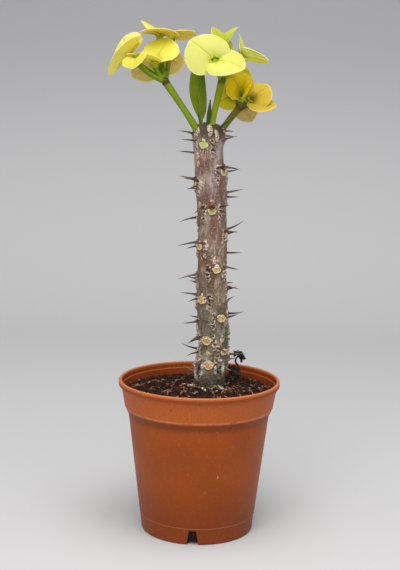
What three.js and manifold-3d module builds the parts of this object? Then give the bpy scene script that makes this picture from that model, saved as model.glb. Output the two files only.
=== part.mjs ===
// A potted crown-of-thorns euphorbia: one thorny stem with a leaf and three stalks of yellow blooms, in a
// round plastic nursery pot filled with peat. Each bloom is two broad bracts round a small green cup.
// Millimetres, +Z up, the origin at the centre of the pot's foot and -Y the front.

import * as THREE from "three";
import { mergeVertices } from "three/addons/utils/BufferGeometryUtils.js";
import Module from "manifold-3d";

const wasm = await Module();
wasm.setup();

const CLEARANCE = 0.3; // between pieces that touch
const WELD = 0.0005; // corners nearer than this are one
const TOLERANCE = 0.004; // slivers thinner than this are dropped where solids join

// Pot
const POT_HEIGHT = 100;
const POT_SIDES = 36;
const WALL = 1.2;
const FOOT_RADIUS = 36.6;
const FOOT_ROUND = 2.4;
const TAPER = 0.12; // radius gained for each millimetre of height
const SEAM_HEIGHT = 10.8;
const SEAM_STEP = 0.25;
const FLOOR_THICKNESS = 1.6;
const COLLAR_FOOT = 77.5; // where the wall starts to step out
const COLLAR_HEIGHT = 82.5; // where the collar proper starts
const COLLAR_RADIUS = 48.4;
const LIP_UNDERSIDE = 96.2;
const LIP_THROAT = 50.8; // outer radius of the collar under the lip
const RIM_RADIUS = 52.5;
const LIP_WIDTH = 2.1;
const LEDGE_DEPTH = 4.3; // below the rim's top
const LEDGE_WIDTH = 0.9;
const NOTCH_TOP_WIDTH = 4.5;
const NOTCH_FOOT_WIDTH = 7.8;
const NOTCH_HEIGHT = 9.6;
const NOTCH_INNER_RADIUS = 30;
const NOTCH_COUNT = 4;
const FIRST_NOTCH = -4; // degrees from the front

// Soil
const SOIL_SIDES = 28;
const SOIL_EDGE = 91.6; // height where it meets the pot
const SOIL_MOUND = 5; // how much higher it is at the stem
const SOIL_RINGS = 4;
const SOIL_TILT = 0.03; // it stands a little higher at the front
const CRUMB = 0.9; // half the height of its lumps

// Stem: height, sideways lean of the centre and radius, from the buried foot to the crown
const STEM = [
  [60, 6, 6.5],
  [80, 6.2, 9.2],
  [96, 6.5, 10.2],
  [108, 7, 10],
  [122, 8.3, 9.3],
  [142, 7.8, 9.7],
  [165, 7, 9.3],
  [198, 6.8, 8.9],
  [216, 5.7, 9.3],
  [224, 5.1, 9.9],
  [244, 3.4, 9.1],
  [258, 2.6, 9.8],
  [263, 2.4, 8.4],
  [266, 2.4, 4.6],
];
const STEM_SIDES = 14;
const STEM_STEP = 10;
const STEM_CROWDING = 1.15; // over 1, the sections lie closer towards the crown

// Leaf scars, in the spiral that the leaves grew in
const SCAR_COUNT = 25;
const FIRST_SCAR = -9; // degrees from the front
const SCAR_TURN = 140.5; // degrees from one scar to the next
const SCAR_START = 111.8; // height of the lowest
const SCAR_RISE = 1.95;
const SCAR_SPREAD = 0.26; // how fast the rise from one scar to the next grows,
const SCAR_EASE = 0.00345; // and how fast that growth dies away
const SCAR_RADIUS = 2.5;
const SCAR_LIP = 0.9;
const SCAR_PROUD = 0.7;
const SCAR_DEPTH = 2; // from the lip's face into the stem
const SHIELD_HALF_HEIGHT = 5.8;
const SHIELD_HALF_WIDTH = 1.7;
const SHIELD_PROUD = 1.1;
const SHIELD_ANGLE = 32; // degrees to each side of the scar
const SHIELD_DROP = 2.2; // from the height of the scar down to the shield's
const SPINE_LENGTHS = [12, 7.5, 5.5]; // from the top of a shield down
const SPINE_SHARES = [0.92, 0.5, 0.1]; // the share of the shields that have kept each
const SPINE_SCATTER = 0.35; // from the shortest spine of a kind to the longest, as a share of its length
const SPINE_TOP = 1.4; // from the top of a shield to its first spine
const SPINE_PITCH = 2.6;
const HOOK_SCATTER = 0.55;
const HOOK_DOWN = 0.5; // the share of the spines that hook downwards
const ANGLE_SCATTER = 26; // degrees, sideways and up and down
const LONG_SPINE = 8; // spines over this length are bent in two
const SPINE_RADIUS = 1.1;
const SPINE_ROOT = 1.6; // sunk below the shield's face
const SPINE_SEED = 1;
const CROWN_SPINES = [
  { angle: -35, height: 261.5, length: 10, hook: 0, splay: -8, rise: 72 },
  { angle: 62, height: 261.5, length: 8.5, hook: -0.1, splay: 0, rise: 42 },
  { angle: -88, height: 258, length: 9, hook: -0.3, splay: 0, rise: 28 },
  { angle: 70, height: 254, length: 9.5, hook: -0.2, splay: 12, rise: 30 },
];

// Leaves
const BLADE = 0.7; // thickness of leaves and bracts
const LEAF_PATH = [
  [-1.2, -4.4, 263.5],
  [-2.4, -4.8, 273],
  [-4.4, -4.6, 286],
  [-4.6, -2.2, 303],
  [-4.2, -0.6, 311],
];
const LEAF_HALF_WIDTH = 6;
const LEAF_BELLY = 0.85; // under 1, a leaf is widest nearer its foot
const PETIOLE_SHARE = 0.08; // of a leaf's length
const LEAF_FOLD = 0.35; // how far the halves rise to each side of the midrib, as a share of the half width
const LEAF_TURN = 0.25; // how far one half lies ahead of the other
const YOUNG_LEAF_PATHS = [
  [[1.8, -7, 262.6], [2.9, -7.2, 271], [3.6, -6.4, 280]],
  [[6.2, 0.4, 262.6], [6.4, 0.8, 270], [8.1, 0.6, 278.6]],
];
const YOUNG_LEAF_HALF_WIDTH = 1.5;
const PETIOLE_RADIUS = 1.6;

// Stalks: the path of each peduncle to its fork
const STALK_RADIUS = 2.25;
const STALK_SIDES = 8;
const KNOT_RADIUS = 2.6; // where a stalk forks
const PEDICEL_ROOT_RADIUS = 1.5;
const PEDICEL_END_RADIUS = 2.1;
const STALK_LEFT = [[-2.8, -4.6, 258], [-6.6, -4.4, 264.6], [-14, -2.6, 275.5], [-24.6, 0, 290.4]];
const STALK_MIDDLE = [[4.4, -3.6, 256], [5, -3.2, 266], [8, -3.2, 280], [10.6, -3.8, 292]];
const STALK_RIGHT = [[7.2, 4.6, 254.5], [11.4, 6.4, 261], [17, 11, 268.6], [22.4, 15.6, 275]];

// Blooms
const CUP_RADIUS = 2.8;
const CUP_HEIGHT = 2;
const CUP_FOOT = 1.3; // how far the cup reaches below the bracts' root
const BRACT_ROOT_RADIUS = 1.3;
const FUNNEL = 3.4; // how far a bract rises out of the cup before it spreads
const FUNNEL_REACH = 4.6; // over what distance it does so
const BRACT_SPAN = 98; // degrees to each side of the midrib
const BRACT_LOBE = 0.3; // how much of its length the blade loses beside the cup
const TIP_WIDTH = 0.2; // of the pointed tip, in radians about the root
const LEFT_BLOOMS = {
  outer: {
    at: [-47.2, 8, 305.8],
    facing: [-0.74, -0.1, 0.66],
    bracts: [
      { rib: [-0.5, -0.85, 0], up: [-0.66, 0.38, 0.65], length: 18, width: 1.15 },
      { rib: [-0.29, 0.71, 0.63], up: [-0.63, -0.64, 0.42], length: 18.5, width: 0.95 },
    ],
  },
  near: {
    at: [-41.8, -11, 305.2],
    facing: [-0.12, -0.2, 0.95],
    bracts: [
      { rib: [-0.08, -0.72, -0.64], up: [-0.45, -0.55, 0.65], length: 11.5, width: 1, funnel: 4.5 },
      { rib: [-0.5, 0.85, -0.1], up: [0, 0.1, 1], length: 8 },
    ],
  },
  inner: {
    at: [-31.2, -2, 301],
    facing: [-0.15, -0.3, 0.94],
    bracts: [
      { rib: [0.38, 0.43, 0.82], up: [-0.25, -0.8, 0.54], length: 20, width: 0.88, span: 66 },
      { rib: [-0.78, -0.4, 0.44], up: [0.3, 0.35, 0.85], length: 9.5, funnel: 4.5 },
    ],
  },
  top: {
    at: [-29.2, 11.5, 318.4],
    facing: [0, 0, 1],
    bracts: [
      { rib: [0.05, -0.95, 0.3], up: [0.05, 0.3, 1], length: 16.5, width: 1, curl: 0.22 },
      { rib: [-0.68, 0.4, 0.56], up: [0.5, -0.2, 0.85], length: 15, width: 0.6, tip: 2.5 },
    ],
  },
  back: {
    at: [-31.4, 22, 304],
    facing: [0, 0.9, 0.3],
    bracts: [
      { rib: [-0.82, 0.1, -0.52], up: [0, 0.9, 0.1], length: 18, width: 0.7 },
      { rib: [0.98, 0.2, -0.02], up: [0, 0.9, 0.1], length: 18, width: 0.65 },
    ],
  },
  side: {
    at: [-21.5, 23.5, 319.4],
    facing: [0.1, 0.3, 0.9],
    bracts: [
      { rib: [0.9, 0.35, 0.1], up: [0, 0.28, 0.95], length: 15.5, curl: 0.2 },
      { rib: [-0.6, 0.75, 0.1], up: [0, 0.3, 0.9], length: 13 },
    ],
  },
};
const MIDDLE_BLOOMS = {
  open: {
    at: [6, -14, 302.5],
    facing: [0.05, -0.8, 0.6],
    bracts: [
      { rib: [-0.72, 0.2, 0.64], up: [0.1, -0.9, 0.4], length: 20.5, width: 0.95, span: 108 },
      { rib: [0.84, -0.46, -0.14], up: [0.28, -0.7, 0.62], length: 19.5, curl: 0.24, funnel: 4.6 },
    ],
  },
  young_left: {
    at: [12.6, 2, 310],
    facing: [0.1, 0.1, 1],
    bracts: [
      { rib: [-0.5, 0.1, 0.82], up: [0.5, -0.6, 0.3], length: 16.5, width: 0.55 },
      { rib: [0.42, 0.1, 0.85], up: [-0.7, -0.5, 0.5], length: 15, width: 0.5, fold: 0.5, tip: 2 },
    ],
  },
  young_right: {
    at: [20.8, 6, 307.2],
    facing: [0.3, 0.1, 0.9],
    bracts: [
      { rib: [-0.06, 0.3, 0.95], up: [0.9, -0.3, 0.3], length: 13.5, width: 0.6, fold: 0.3, tip: 2 },
      { rib: [0.96, 0, -0.12], up: [0.2, 0.7, 0.6], length: 13.5, width: 0.5, fold: 0.3, tip: 6 },
    ],
  },
};
const RIGHT_BLOOMS = {
  near: {
    at: [23.4, 9, 280.6],
    facing: [0.05, -0.35, 0.93],
    bracts: [
      { rib: [-0.44, -0.1, 0.9], up: [0.5, -0.8, 0.2], length: 17.5, span: 72, fold: 0.3 },
      { rib: [0.5, -0.25, 0.8], up: [-0.6, -0.5, 0.6], length: 12.5, span: 72, fold: 0.2 },
    ],
  },
  outer: {
    at: [29, 15.6, 278.4],
    facing: [0.5, -0.3, 0.8],
    bracts: [
      { rib: [0.7, 0.3, 0.62], up: [-0.3, -0.75, 0.6], length: 16.5 },
      { rib: [0.97, -0.1, -0.14], up: [0.05, -0.45, 0.9], length: 16.5 },
    ],
  },
  low: {
    at: [25.4, 26.4, 277.6],
    facing: [0, 0.9, -0.1],
    bracts: [
      { rib: [0.45, 0.1, -0.85], up: [0, 0.9, 0], length: 12 },
      { rib: [0.2, 0.6, 0.6], up: [0, 0.8, -0.5], length: 12 },
    ],
  },
  back: {
    at: [19, 24, 284],
    facing: [-0.3, 0.85, 0.35],
    bracts: [
      { rib: [0.42, 0.1, 0.88], up: [0, 0.95, -0.1], length: 18, width: 0.7 },
      { rib: [-0.8, 0.1, -0.4], up: [0, 0.95, 0.1], length: 13 },
    ],
  },
};

// Withered flower, dried out and standing in the soil
const WITHERED_STALK = [
  [25, 10, 90.4],
  [25.2, 10, 98],
  [26.2, 10, 105],
  [23.6, 10.6, 110],
  [26.8, 11.6, 115.4],
];
const WITHERED_RADIUS = 1;
const WITHERED_CLUMP = { radii: [4.4, 2.8, 4.6], at: [22.6, 11, 102.6] };
const WITHERED_BUD = { radii: [2.2, 1.6, 3.6], at: [26.4, 11.8, 112.4] };

const COLOURS = {
  terracotta: [0xa5552d, 0.45],
  peat: [0x281c16, 1],
  bark: [0x786860, 0.7],
  leaf: [0x5a7814, 0.5],
  youngLeaf: [0x2c4a14, 0.5],
  stalk: [0x6a8c1c, 0.45],
  oliveStalk: [0x6e6e1e, 0.5],
  paleBract: [0xf4ea7c, 0.55],
  youngBract: [0xcdd256, 0.5],
  goldBract: [0xc4a422, 0.55],
  withered: [0x2c2018, 0.9],
};

const radians = THREE.MathUtils.degToRad;
const vector = (numbers) => new THREE.Vector3(...numbers);

// A repeatable draw from 0 to 1 for each seed.
function draw(seed) {
  const wave = Math.sin(seed * 12.9898) * 43758.5453;
  return wave - Math.floor(wave);
}

// A closed geometry as a solid, with coincident corners welded and collapsed triangles dropped.
function toSolid(geometry) {
  const bare = geometry.clone();
  bare.deleteAttribute("normal");
  bare.deleteAttribute("uv");
  const welded = mergeVertices(bare, WELD);
  const corners = welded.index.array;
  const kept = [];
  for (let i = 0; i < corners.length; i += 3) {
    const triangle = [corners[i], corners[i + 1], corners[i + 2]];
    if (new Set(triangle).size === 3) kept.push(...triangle);
  }
  const vertProperties = Float32Array.from(welded.attributes.position.array);
  const triVerts = Uint32Array.from(kept);
  return new wasm.Manifold(new wasm.Mesh({ numProp: 3, vertProperties, triVerts, tolerance: TOLERANCE }));
}

function toGeometry(solid) {
  const mesh = solid.getMesh();
  const geometry = new THREE.BufferGeometry();
  geometry.setAttribute("position", new THREE.BufferAttribute(mesh.vertProperties, 3));
  geometry.setIndex(new THREE.BufferAttribute(mesh.triVerts, 1));
  geometry.computeVertexNormals();
  return geometry;
}

function fuse(geometries) {
  return geometries.map(toSolid).reduce((whole, piece) => whole.add(piece));
}

function named(name, solid, [color, roughness]) {
  const material = new THREE.MeshStandardMaterial({ color, roughness, metalness: 0 });
  const mesh = new THREE.Mesh(toGeometry(solid), material);
  mesh.name = name;
  return mesh;
}

// A profile of radius and height, turned round the upright axis.
function turned(path, sides, arcSteps) {
  const geometry = new THREE.LatheGeometry(path.getPoints(arcSteps), sides);
  return geometry.rotateX(Math.PI / 2);
}

// A closed tube along a curve; radiusAt(t) is its radius, t running from 0 to 1.
function tube(curve, radiusAt, sides, steps) {
  const geometry = new THREE.CylinderGeometry(1, 1, 1, sides, steps);
  const { normals, binormals } = curve.computeFrenetFrames(steps, false);
  const position = geometry.attributes.position;
  for (let i = 0; i < position.count; i++) {
    const step = Math.round((position.getY(i) + 0.5) * steps);
    const radius = radiusAt(step / steps);
    const point = curve.getPointAt(step / steps);
    point.addScaledVector(binormals[step], position.getX(i) * radius);
    point.addScaledVector(normals[step], position.getZ(i) * radius);
    position.setXYZ(i, point.x, point.y, point.z);
  }
  return geometry;
}

// A closed thin blade about surface(u, v), u and v from 0 to 1, with the same triangles on both faces.
function blade(surface, columns, rows) {
  const sheet = new THREE.PlaneGeometry(1, 1, columns, rows);
  const grid = sheet.attributes.position;
  const faces = Array.from(sheet.index.array);
  const upper = [];
  const lower = [];
  for (let i = 0; i < grid.count; i++) {
    const u = grid.getX(i) + 0.5;
    const v = grid.getY(i) + 0.5;
    const nudge = 0.01;
    const middle = surface(u, v);
    const alongU = surface(u + nudge, v).sub(surface(u - nudge, v));
    const alongV = surface(u, v + nudge).sub(surface(u, v - nudge));
    const normal = alongU.cross(alongV).setLength(BLADE / 2);
    upper.push(...middle.clone().add(normal).toArray());
    lower.push(...middle.clone().sub(normal).toArray());
  }
  const corner = (column, row) => row * (columns + 1) + column;
  const border = [];
  for (let column = 0; column < columns; column++) border.push(corner(column, rows));
  for (let row = rows; row > 0; row--) border.push(corner(columns, row));
  for (let column = columns; column > 0; column--) border.push(corner(column, 0));
  for (let row = 0; row < rows; row++) border.push(corner(0, row));
  const index = [...faces];
  for (let i = 0; i < faces.length; i += 3) {
    index.push(faces[i] + grid.count, faces[i + 2] + grid.count, faces[i + 1] + grid.count);
  }
  border.forEach((from, i) => {
    const to = border[(i + 1) % border.length];
    index.push(to, from, from + grid.count);
    index.push(to, from + grid.count, to + grid.count);
  });
  const geometry = new THREE.BufferGeometry();
  geometry.setAttribute("position", new THREE.Float32BufferAttribute([...upper, ...lower], 3));
  geometry.setIndex(index);
  return geometry;
}

// Pot: the wall tapers up to a stepped-out collar with a rolled lip, and has a stacking ledge inside.
const wallRadius = (height) => FOOT_RADIUS + TAPER * height;
const collarRadius = (height) => THREE.MathUtils.mapLinear(
  height, COLLAR_HEIGHT, LIP_UNDERSIDE, COLLAR_RADIUS, LIP_THROAT);

function pot() {
  const ledge = POT_HEIGHT - LEDGE_DEPTH;
  const lipInner = RIM_RADIUS - LIP_WIDTH;
  const path = new THREE.Path();
  path.moveTo(0, 0);
  path.lineTo(wallRadius(0) - FOOT_ROUND, 0);
  path.quadraticCurveTo(wallRadius(0), 0, wallRadius(FOOT_ROUND), FOOT_ROUND);
  path.lineTo(wallRadius(SEAM_HEIGHT) - SEAM_STEP, SEAM_HEIGHT);
  path.lineTo(wallRadius(SEAM_HEIGHT), SEAM_HEIGHT + SEAM_STEP);
  path.lineTo(wallRadius(COLLAR_FOOT), COLLAR_FOOT);
  path.lineTo(COLLAR_RADIUS, COLLAR_HEIGHT);
  path.lineTo(LIP_THROAT, LIP_UNDERSIDE);
  path.quadraticCurveTo(RIM_RADIUS, LIP_UNDERSIDE, RIM_RADIUS, POT_HEIGHT - LIP_WIDTH / 2);
  path.quadraticCurveTo(RIM_RADIUS, POT_HEIGHT, RIM_RADIUS - LIP_WIDTH / 2, POT_HEIGHT);
  path.quadraticCurveTo(lipInner, POT_HEIGHT, lipInner, POT_HEIGHT - LIP_WIDTH / 2);
  path.lineTo(collarRadius(ledge) - WALL + LEDGE_WIDTH, ledge);
  path.lineTo(collarRadius(ledge) - WALL, ledge);
  path.lineTo(COLLAR_RADIUS - WALL, COLLAR_HEIGHT);
  path.lineTo(wallRadius(COLLAR_FOOT) - WALL, COLLAR_FOOT);
  path.lineTo(wallRadius(FLOOR_THICKNESS) - WALL, FLOOR_THICKNESS + WALL);
  path.lineTo(wallRadius(0) - FOOT_ROUND, FLOOR_THICKNESS);
  path.lineTo(0, FLOOR_THICKNESS);
  let solid = toSolid(turned(path, POT_SIDES, 2));
  for (let i = 0; i < NOTCH_COUNT; i++) {
    solid = solid.subtract(toSolid(notch(FIRST_NOTCH + (i * 360) / NOTCH_COUNT)));
  }
  return solid;
}

// One drain notch, narrower at its top, cut through the wall and the corner of the floor.
function notch(angle) {
  const below = 1;
  const shape = new THREE.Shape();
  const flare = (NOTCH_FOOT_WIDTH - NOTCH_TOP_WIDTH) / NOTCH_HEIGHT / 2;
  const footHalf = NOTCH_FOOT_WIDTH / 2 + flare * below;
  shape.moveTo(-footHalf, -below);
  shape.lineTo(footHalf, -below);
  shape.lineTo(NOTCH_TOP_WIDTH / 2, NOTCH_HEIGHT);
  shape.lineTo(-NOTCH_TOP_WIDTH / 2, NOTCH_HEIGHT);
  shape.closePath();
  const depth = RIM_RADIUS - NOTCH_INNER_RADIUS;
  const cutter = new THREE.ExtrudeGeometry(shape, { depth, bevelEnabled: false });
  cutter.rotateX(Math.PI / 2);
  cutter.translate(0, -NOTCH_INNER_RADIUS, 0);
  return cutter.rotateZ(radians(angle));
}

// Stem: sections stacked between the listed ones; extra makes it fatter, for the hole it stands in.
function stemSection(height) {
  const above = Math.max(1, STEM.findIndex((row) => row[0] >= height));
  const [low, high] = [STEM[above - 1], STEM[above]];
  const share = (height - low[0]) / (high[0] - low[0]);
  return {
    lean: THREE.MathUtils.lerp(low[1], high[1], share),
    radius: THREE.MathUtils.lerp(low[2], high[2], share),
  };
}

function stemCore(extra) {
  const bottom = STEM[0][0];
  const top = STEM[STEM.length - 1][0];
  const steps = Math.round((top - bottom) / STEM_STEP);
  const geometry = new THREE.CylinderGeometry(1, 1, 1, STEM_SIDES, steps);
  const position = geometry.attributes.position;
  for (let i = 0; i < position.count; i++) {
    const share = position.getY(i) + 0.5;
    const height = bottom + (top - bottom) * (1 - (1 - share) ** STEM_CROWDING);
    const { lean, radius } = stemSection(height);
    const x = lean + position.getX(i) * (radius + extra);
    const y = -position.getZ(i) * (radius + extra);
    position.setXYZ(i, x, y, share === 0 ? height - extra : height);
  }
  return geometry;
}

// Moves a shape made with X sideways, Y up the stem and Z outwards to its place on the stem.
function placeOnStem(geometry, angle, height, sink) {
  const { lean, radius } = stemSection(height);
  const turn = radians(angle);
  geometry.translate(0, 0, radius - sink);
  geometry.rotateX(Math.PI / 2);
  geometry.rotateZ(turn);
  return geometry.translate(lean, 0, height);
}

const scarAngle = (n) => FIRST_SCAR + SCAR_TURN * n;
const scarHeight = (n) => SCAR_START + SCAR_RISE * n + SCAR_SPREAD * n ** 2 - SCAR_EASE * n ** 3;

// A scar left by a fallen leaf: a crescent lip.
function scar(n) {
  const shape = new THREE.Shape();
  shape.absarc(0, 0, SCAR_RADIUS, Math.PI, 2 * Math.PI, false);
  shape.absarc(0, SCAR_LIP / 2, SCAR_RADIUS - SCAR_LIP, 2 * Math.PI, Math.PI, true);
  shape.closePath();
  const options = { depth: SCAR_DEPTH, bevelEnabled: false, curveSegments: 1 };
  const lip = new THREE.ExtrudeGeometry(shape, options);
  lip.translate(0, 0, SCAR_PROUD - SCAR_DEPTH);
  return placeOnStem(lip, scarAngle(n), scarHeight(n), 0);
}

// One of the two corky pads beside a scar, which carry the spines.
function shield(angle, height) {
  const pad = new THREE.SphereGeometry(1, 5, 3);
  pad.scale(SHIELD_HALF_WIDTH, SHIELD_HALF_HEIGHT, SHIELD_PROUD);
  return placeOnStem(pad, angle, height, 0);
}

// A three-sided spine, hooked towards its tip, growing along Z from its root.
function spine(length, hook, splay, rise) {
  const whole = length + SPINE_ROOT;
  const joints = length > LONG_SPINE ? 2 : 1;
  const geometry = new THREE.ConeGeometry(SPINE_RADIUS, whole, 3, joints);
  geometry.rotateX(Math.PI / 2);
  geometry.translate(0, 0, whole / 2);
  const position = geometry.attributes.position;
  for (let i = 0; i < position.count; i++) {
    const share = position.getZ(i) / whole;
    position.setY(i, position.getY(i) + hook * whole * share * share);
  }
  geometry.rotateX(-radians(rise));
  return geometry.rotateY(radians(splay));
}

function spinesOfShield(angle, height, seed) {
  const spines = [];
  SPINE_LENGTHS.forEach((length, i) => {
    const pick = SPINE_SEED + seed * 7 + i * 3;
    if (draw(pick + 1.5) > SPINE_SHARES[i]) return;
    const actual = length * (1 + SPINE_SCATTER * (draw(pick) - 0.5));
    const hook = HOOK_SCATTER * (draw(pick + 1) - HOOK_DOWN);
    const splay = ANGLE_SCATTER * (draw(pick + 2) - 0.5);
    const rise = ANGLE_SCATTER * (draw(pick + 0.5) - 0.5);
    const at = height + SHIELD_HALF_HEIGHT - SPINE_TOP - SPINE_PITCH * i;
    spines.push(placeOnStem(spine(actual, hook, splay, rise), angle, at, SPINE_ROOT - SHIELD_PROUD / 2));
  });
  return spines;
}

// The whole stem, with a pair of shields beside each scar; sockets are cut out of its crown.
function stem(sockets) {
  const pieces = [stemCore(0)];
  for (let n = 0; n < SCAR_COUNT; n++) {
    pieces.push(scar(n));
    [-1, 1].forEach((side) => {
      const angle = scarAngle(n) + side * SHIELD_ANGLE;
      const height = scarHeight(n) - SHIELD_DROP;
      pieces.push(shield(angle, height));
      pieces.push(...spinesOfShield(angle, height, 2 * n + side + 2));
    });
  }
  CROWN_SPINES.forEach(({ angle, height, length, hook, splay, rise }) => {
    pieces.push(placeOnStem(spine(length, hook, splay, rise), angle, height, SPINE_ROOT));
  });
  return sockets.reduce((whole, socket) => whole.subtract(toSolid(socket)), fuse(pieces));
}

// Soil: fills the pot to a lumpy mound, with plain holes for what stands in it.
function soil(holes) {
  const inner = (radius) => radius - WALL - CLEARANCE;
  const bottom = FLOOR_THICKNESS + CLEARANCE;
  const path = new THREE.Path();
  path.moveTo(0, bottom);
  path.lineTo(wallRadius(0) - FOOT_ROUND - CLEARANCE, bottom);
  path.lineTo(inner(wallRadius(FLOOR_THICKNESS)), bottom + WALL);
  path.lineTo(inner(wallRadius(COLLAR_FOOT)), COLLAR_FOOT);
  path.lineTo(inner(COLLAR_RADIUS), COLLAR_HEIGHT);
  path.lineTo(inner(collarRadius(SOIL_EDGE)), SOIL_EDGE);
  for (let ring = SOIL_RINGS - 1; ring >= 0; ring--) {
    const share = ring / SOIL_RINGS;
    path.lineTo(inner(collarRadius(SOIL_EDGE)) * share, SOIL_EDGE + SOIL_MOUND * (1 - share));
  }
  const geometry = turned(path, SOIL_SIDES, 1);
  const position = geometry.attributes.position;
  for (let i = 0; i < position.count; i++) {
    const [x, y, z] = [position.getX(i), position.getY(i), position.getZ(i)];
    if (z > SOIL_EDGE) position.setZ(i, z + lumps(x, y) - SOIL_TILT * y);
  }
  return holes.reduce((whole, hole) => whole.subtract(toSolid(hole)), toSolid(geometry));
}

// How far the soil's lumps raise it at a place.
function lumps(x, y) {
  const coarse = Math.sin(0.31 * x + 1.3) * Math.cos(0.27 * y - 0.4);
  const fine = Math.sin(0.83 * x - 0.5 * y) * Math.cos(0.71 * y + 0.6 * x + 2);
  return CRUMB * (0.6 * coarse + 0.8 * fine);
}

// Leaves: a blade along a path, on a narrow petiole.
function leafBlade(points, halfWidth, columns) {
  const path = new THREE.CatmullRomCurve3(points.map(vector));
  const surface = (u, v) => {
    const t = THREE.MathUtils.clamp(u, 0, 1);
    const side = 2 * v - 1;
    const onBlade = Math.max(0, t - PETIOLE_SHARE) / (1 - PETIOLE_SHARE);
    const swell = Math.sin(Math.PI * onBlade ** LEAF_BELLY) ** 0.8 * (1 - 0.25 * t);
    const half = Math.max(halfWidth * swell, 1 - 0.6 * t);
    const point = path.getPointAt(t);
    point.x += side * half;
    point.y += LEAF_FOLD * half * Math.abs(side) - LEAF_TURN * side * half;
    point.addScaledVector(path.getTangentAt(t), u - t);
    return point;
  };
  return blade(surface, columns, 2);
}

// Bract: a kidney-shaped blade. rib is the way its midrib points, and up the side that faces the light.
function bract(shape) {
  const { rib, up, length, width = 0.9, fold = 0, tip = 0.8 } = shape;
  const { curl = 0.16, span = BRACT_SPAN, funnel = FUNNEL } = shape;
  const along = vector(rib).normalize();
  const above = vector(up).addScaledVector(along, -vector(up).dot(along)).normalize();
  const across = above.clone().cross(along);
  const widest = radians(span);
  const surface = (u, v) => {
    const angle = (2 * v - 1) * widest;
    const outermost = THREE.MathUtils.smoothstep(Math.abs(angle) / widest, 0.72, 1.1);
    const point = tip * Math.exp(-((angle / TIP_WIDTH) ** 2));
    const reach = length * Math.cos(angle / 2) * (1 - BRACT_LOBE * outermost) + point;
    const radius = BRACT_ROOT_RADIUS + u * (reach - BRACT_ROOT_RADIUS);
    const x = radius * Math.cos(angle);
    const y = radius * Math.sin(angle) * THREE.MathUtils.lerp(1, width, u);
    const rise = funnel * (1 - Math.exp(-radius / FUNNEL_REACH)) - (curl * radius * radius) / length;
    return new THREE.Vector3()
      .addScaledVector(along, x)
      .addScaledVector(across, y)
      .addScaledVector(above, rise + fold * Math.abs(y));
  };
  return blade(surface, 3, 8);
}

// The green cup in the middle of a bloom.
function cup(facing) {
  const path = new THREE.Path();
  path.moveTo(0, -CUP_FOOT);
  path.lineTo(PEDICEL_END_RADIUS, -CUP_FOOT);
  path.lineTo(CUP_RADIUS, CUP_HEIGHT);
  path.lineTo(0, CUP_HEIGHT * 0.6);
  const towards = new THREE.Quaternion().setFromUnitVectors(new THREE.Vector3(0, 0, 1), facing);
  return turned(path, 6, 1).applyQuaternion(towards);
}

function bloom(name, { at, facing, bracts }, colour) {
  const solid = fuse([cup(vector(facing).normalize()), ...bracts.map(bract)]);
  const mesh = named(name, solid, colour);
  mesh.position.set(...at);
  return mesh;
}

// Stalk: a peduncle that forks into one pedicel for each bloom, each wider where it meets the bloom's cup.
const peduncleCurve = (points) => new THREE.CatmullRomCurve3(points.map(vector));

function stalk(points, blooms) {
  const fork = vector(points[points.length - 1]);
  const knot = new THREE.SphereGeometry(KNOT_RADIUS, STALK_SIDES, 4);
  knot.translate(fork.x, fork.y, fork.z);
  const pieces = [tube(peduncleCurve(points), () => STALK_RADIUS, STALK_SIDES, 6), knot];
  Object.values(blooms).forEach(({ at, facing }) => {
    const towards = vector(facing).normalize();
    const end = vector(at).addScaledVector(towards, -CUP_FOOT - CLEARANCE);
    const bend = fork.distanceTo(end) / 3;
    const curve = new THREE.QuadraticBezierCurve3(fork, end.clone().addScaledVector(towards, -bend), end);
    const radiusAt = (t) => THREE.MathUtils.lerp(PEDICEL_ROOT_RADIUS, PEDICEL_END_RADIUS, t ** 3);
    pieces.push(tube(curve, radiusAt, 6, 3));
  });
  return fuse(pieces);
}

// The socket that a stalk or a petiole stands in.
function socket(curve, radius) {
  const sunk = curve.getPointAt(0).addScaledVector(curve.getTangentAt(0), -CLEARANCE);
  const path = new THREE.CatmullRomCurve3([sunk, ...curve.getSpacedPoints(8)]);
  return tube(path, () => radius + CLEARANCE, STALK_SIDES, 12);
}

const witheredCurve = new THREE.CatmullRomCurve3(WITHERED_STALK.map(vector));

function pebble({ radii, at }) {
  return new THREE.SphereGeometry(1, 6, 4).scale(...radii).translate(...at);
}

function withered() {
  const thread = tube(witheredCurve, (t) => WITHERED_RADIUS * (1 - t / 2), 5, 9);
  return fuse([thread, pebble(WITHERED_CLUMP), pebble(WITHERED_BUD)]);
}

function witheredHole() {
  const start = witheredCurve.getPointAt(0).add(new THREE.Vector3(0, 0, -CLEARANCE));
  const end = start.clone().setZ(POT_HEIGHT);
  return tube(new THREE.LineCurve3(start, end), () => WITHERED_RADIUS + 2 * CLEARANCE, 8, 1);
}

const plant = new THREE.Group();
const leafSocket = (points) => socket(new THREE.CatmullRomCurve3(points.map(vector)), PETIOLE_RADIUS);
const sockets = [
  ...[STALK_LEFT, STALK_MIDDLE, STALK_RIGHT].map((points) => socket(peduncleCurve(points), STALK_RADIUS)),
  ...[LEAF_PATH, ...YOUNG_LEAF_PATHS].map(leafSocket),
];
plant.add(named("stem", stem(sockets), COLOURS.bark));
plant.add(named("leaf", toSolid(leafBlade(LEAF_PATH, LEAF_HALF_WIDTH, 8)), COLOURS.leaf));
YOUNG_LEAF_PATHS.forEach((points, i) => {
  const solid = toSolid(leafBlade(points, YOUNG_LEAF_HALF_WIDTH, 4));
  plant.add(named(`young_leaf_${i + 1}`, solid, COLOURS.youngLeaf));
});
plant.add(named("stalk_left", stalk(STALK_LEFT, LEFT_BLOOMS), COLOURS.stalk));
plant.add(named("stalk_middle", stalk(STALK_MIDDLE, MIDDLE_BLOOMS), COLOURS.stalk));
plant.add(named("stalk_right", stalk(STALK_RIGHT, RIGHT_BLOOMS), COLOURS.oliveStalk));
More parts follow.
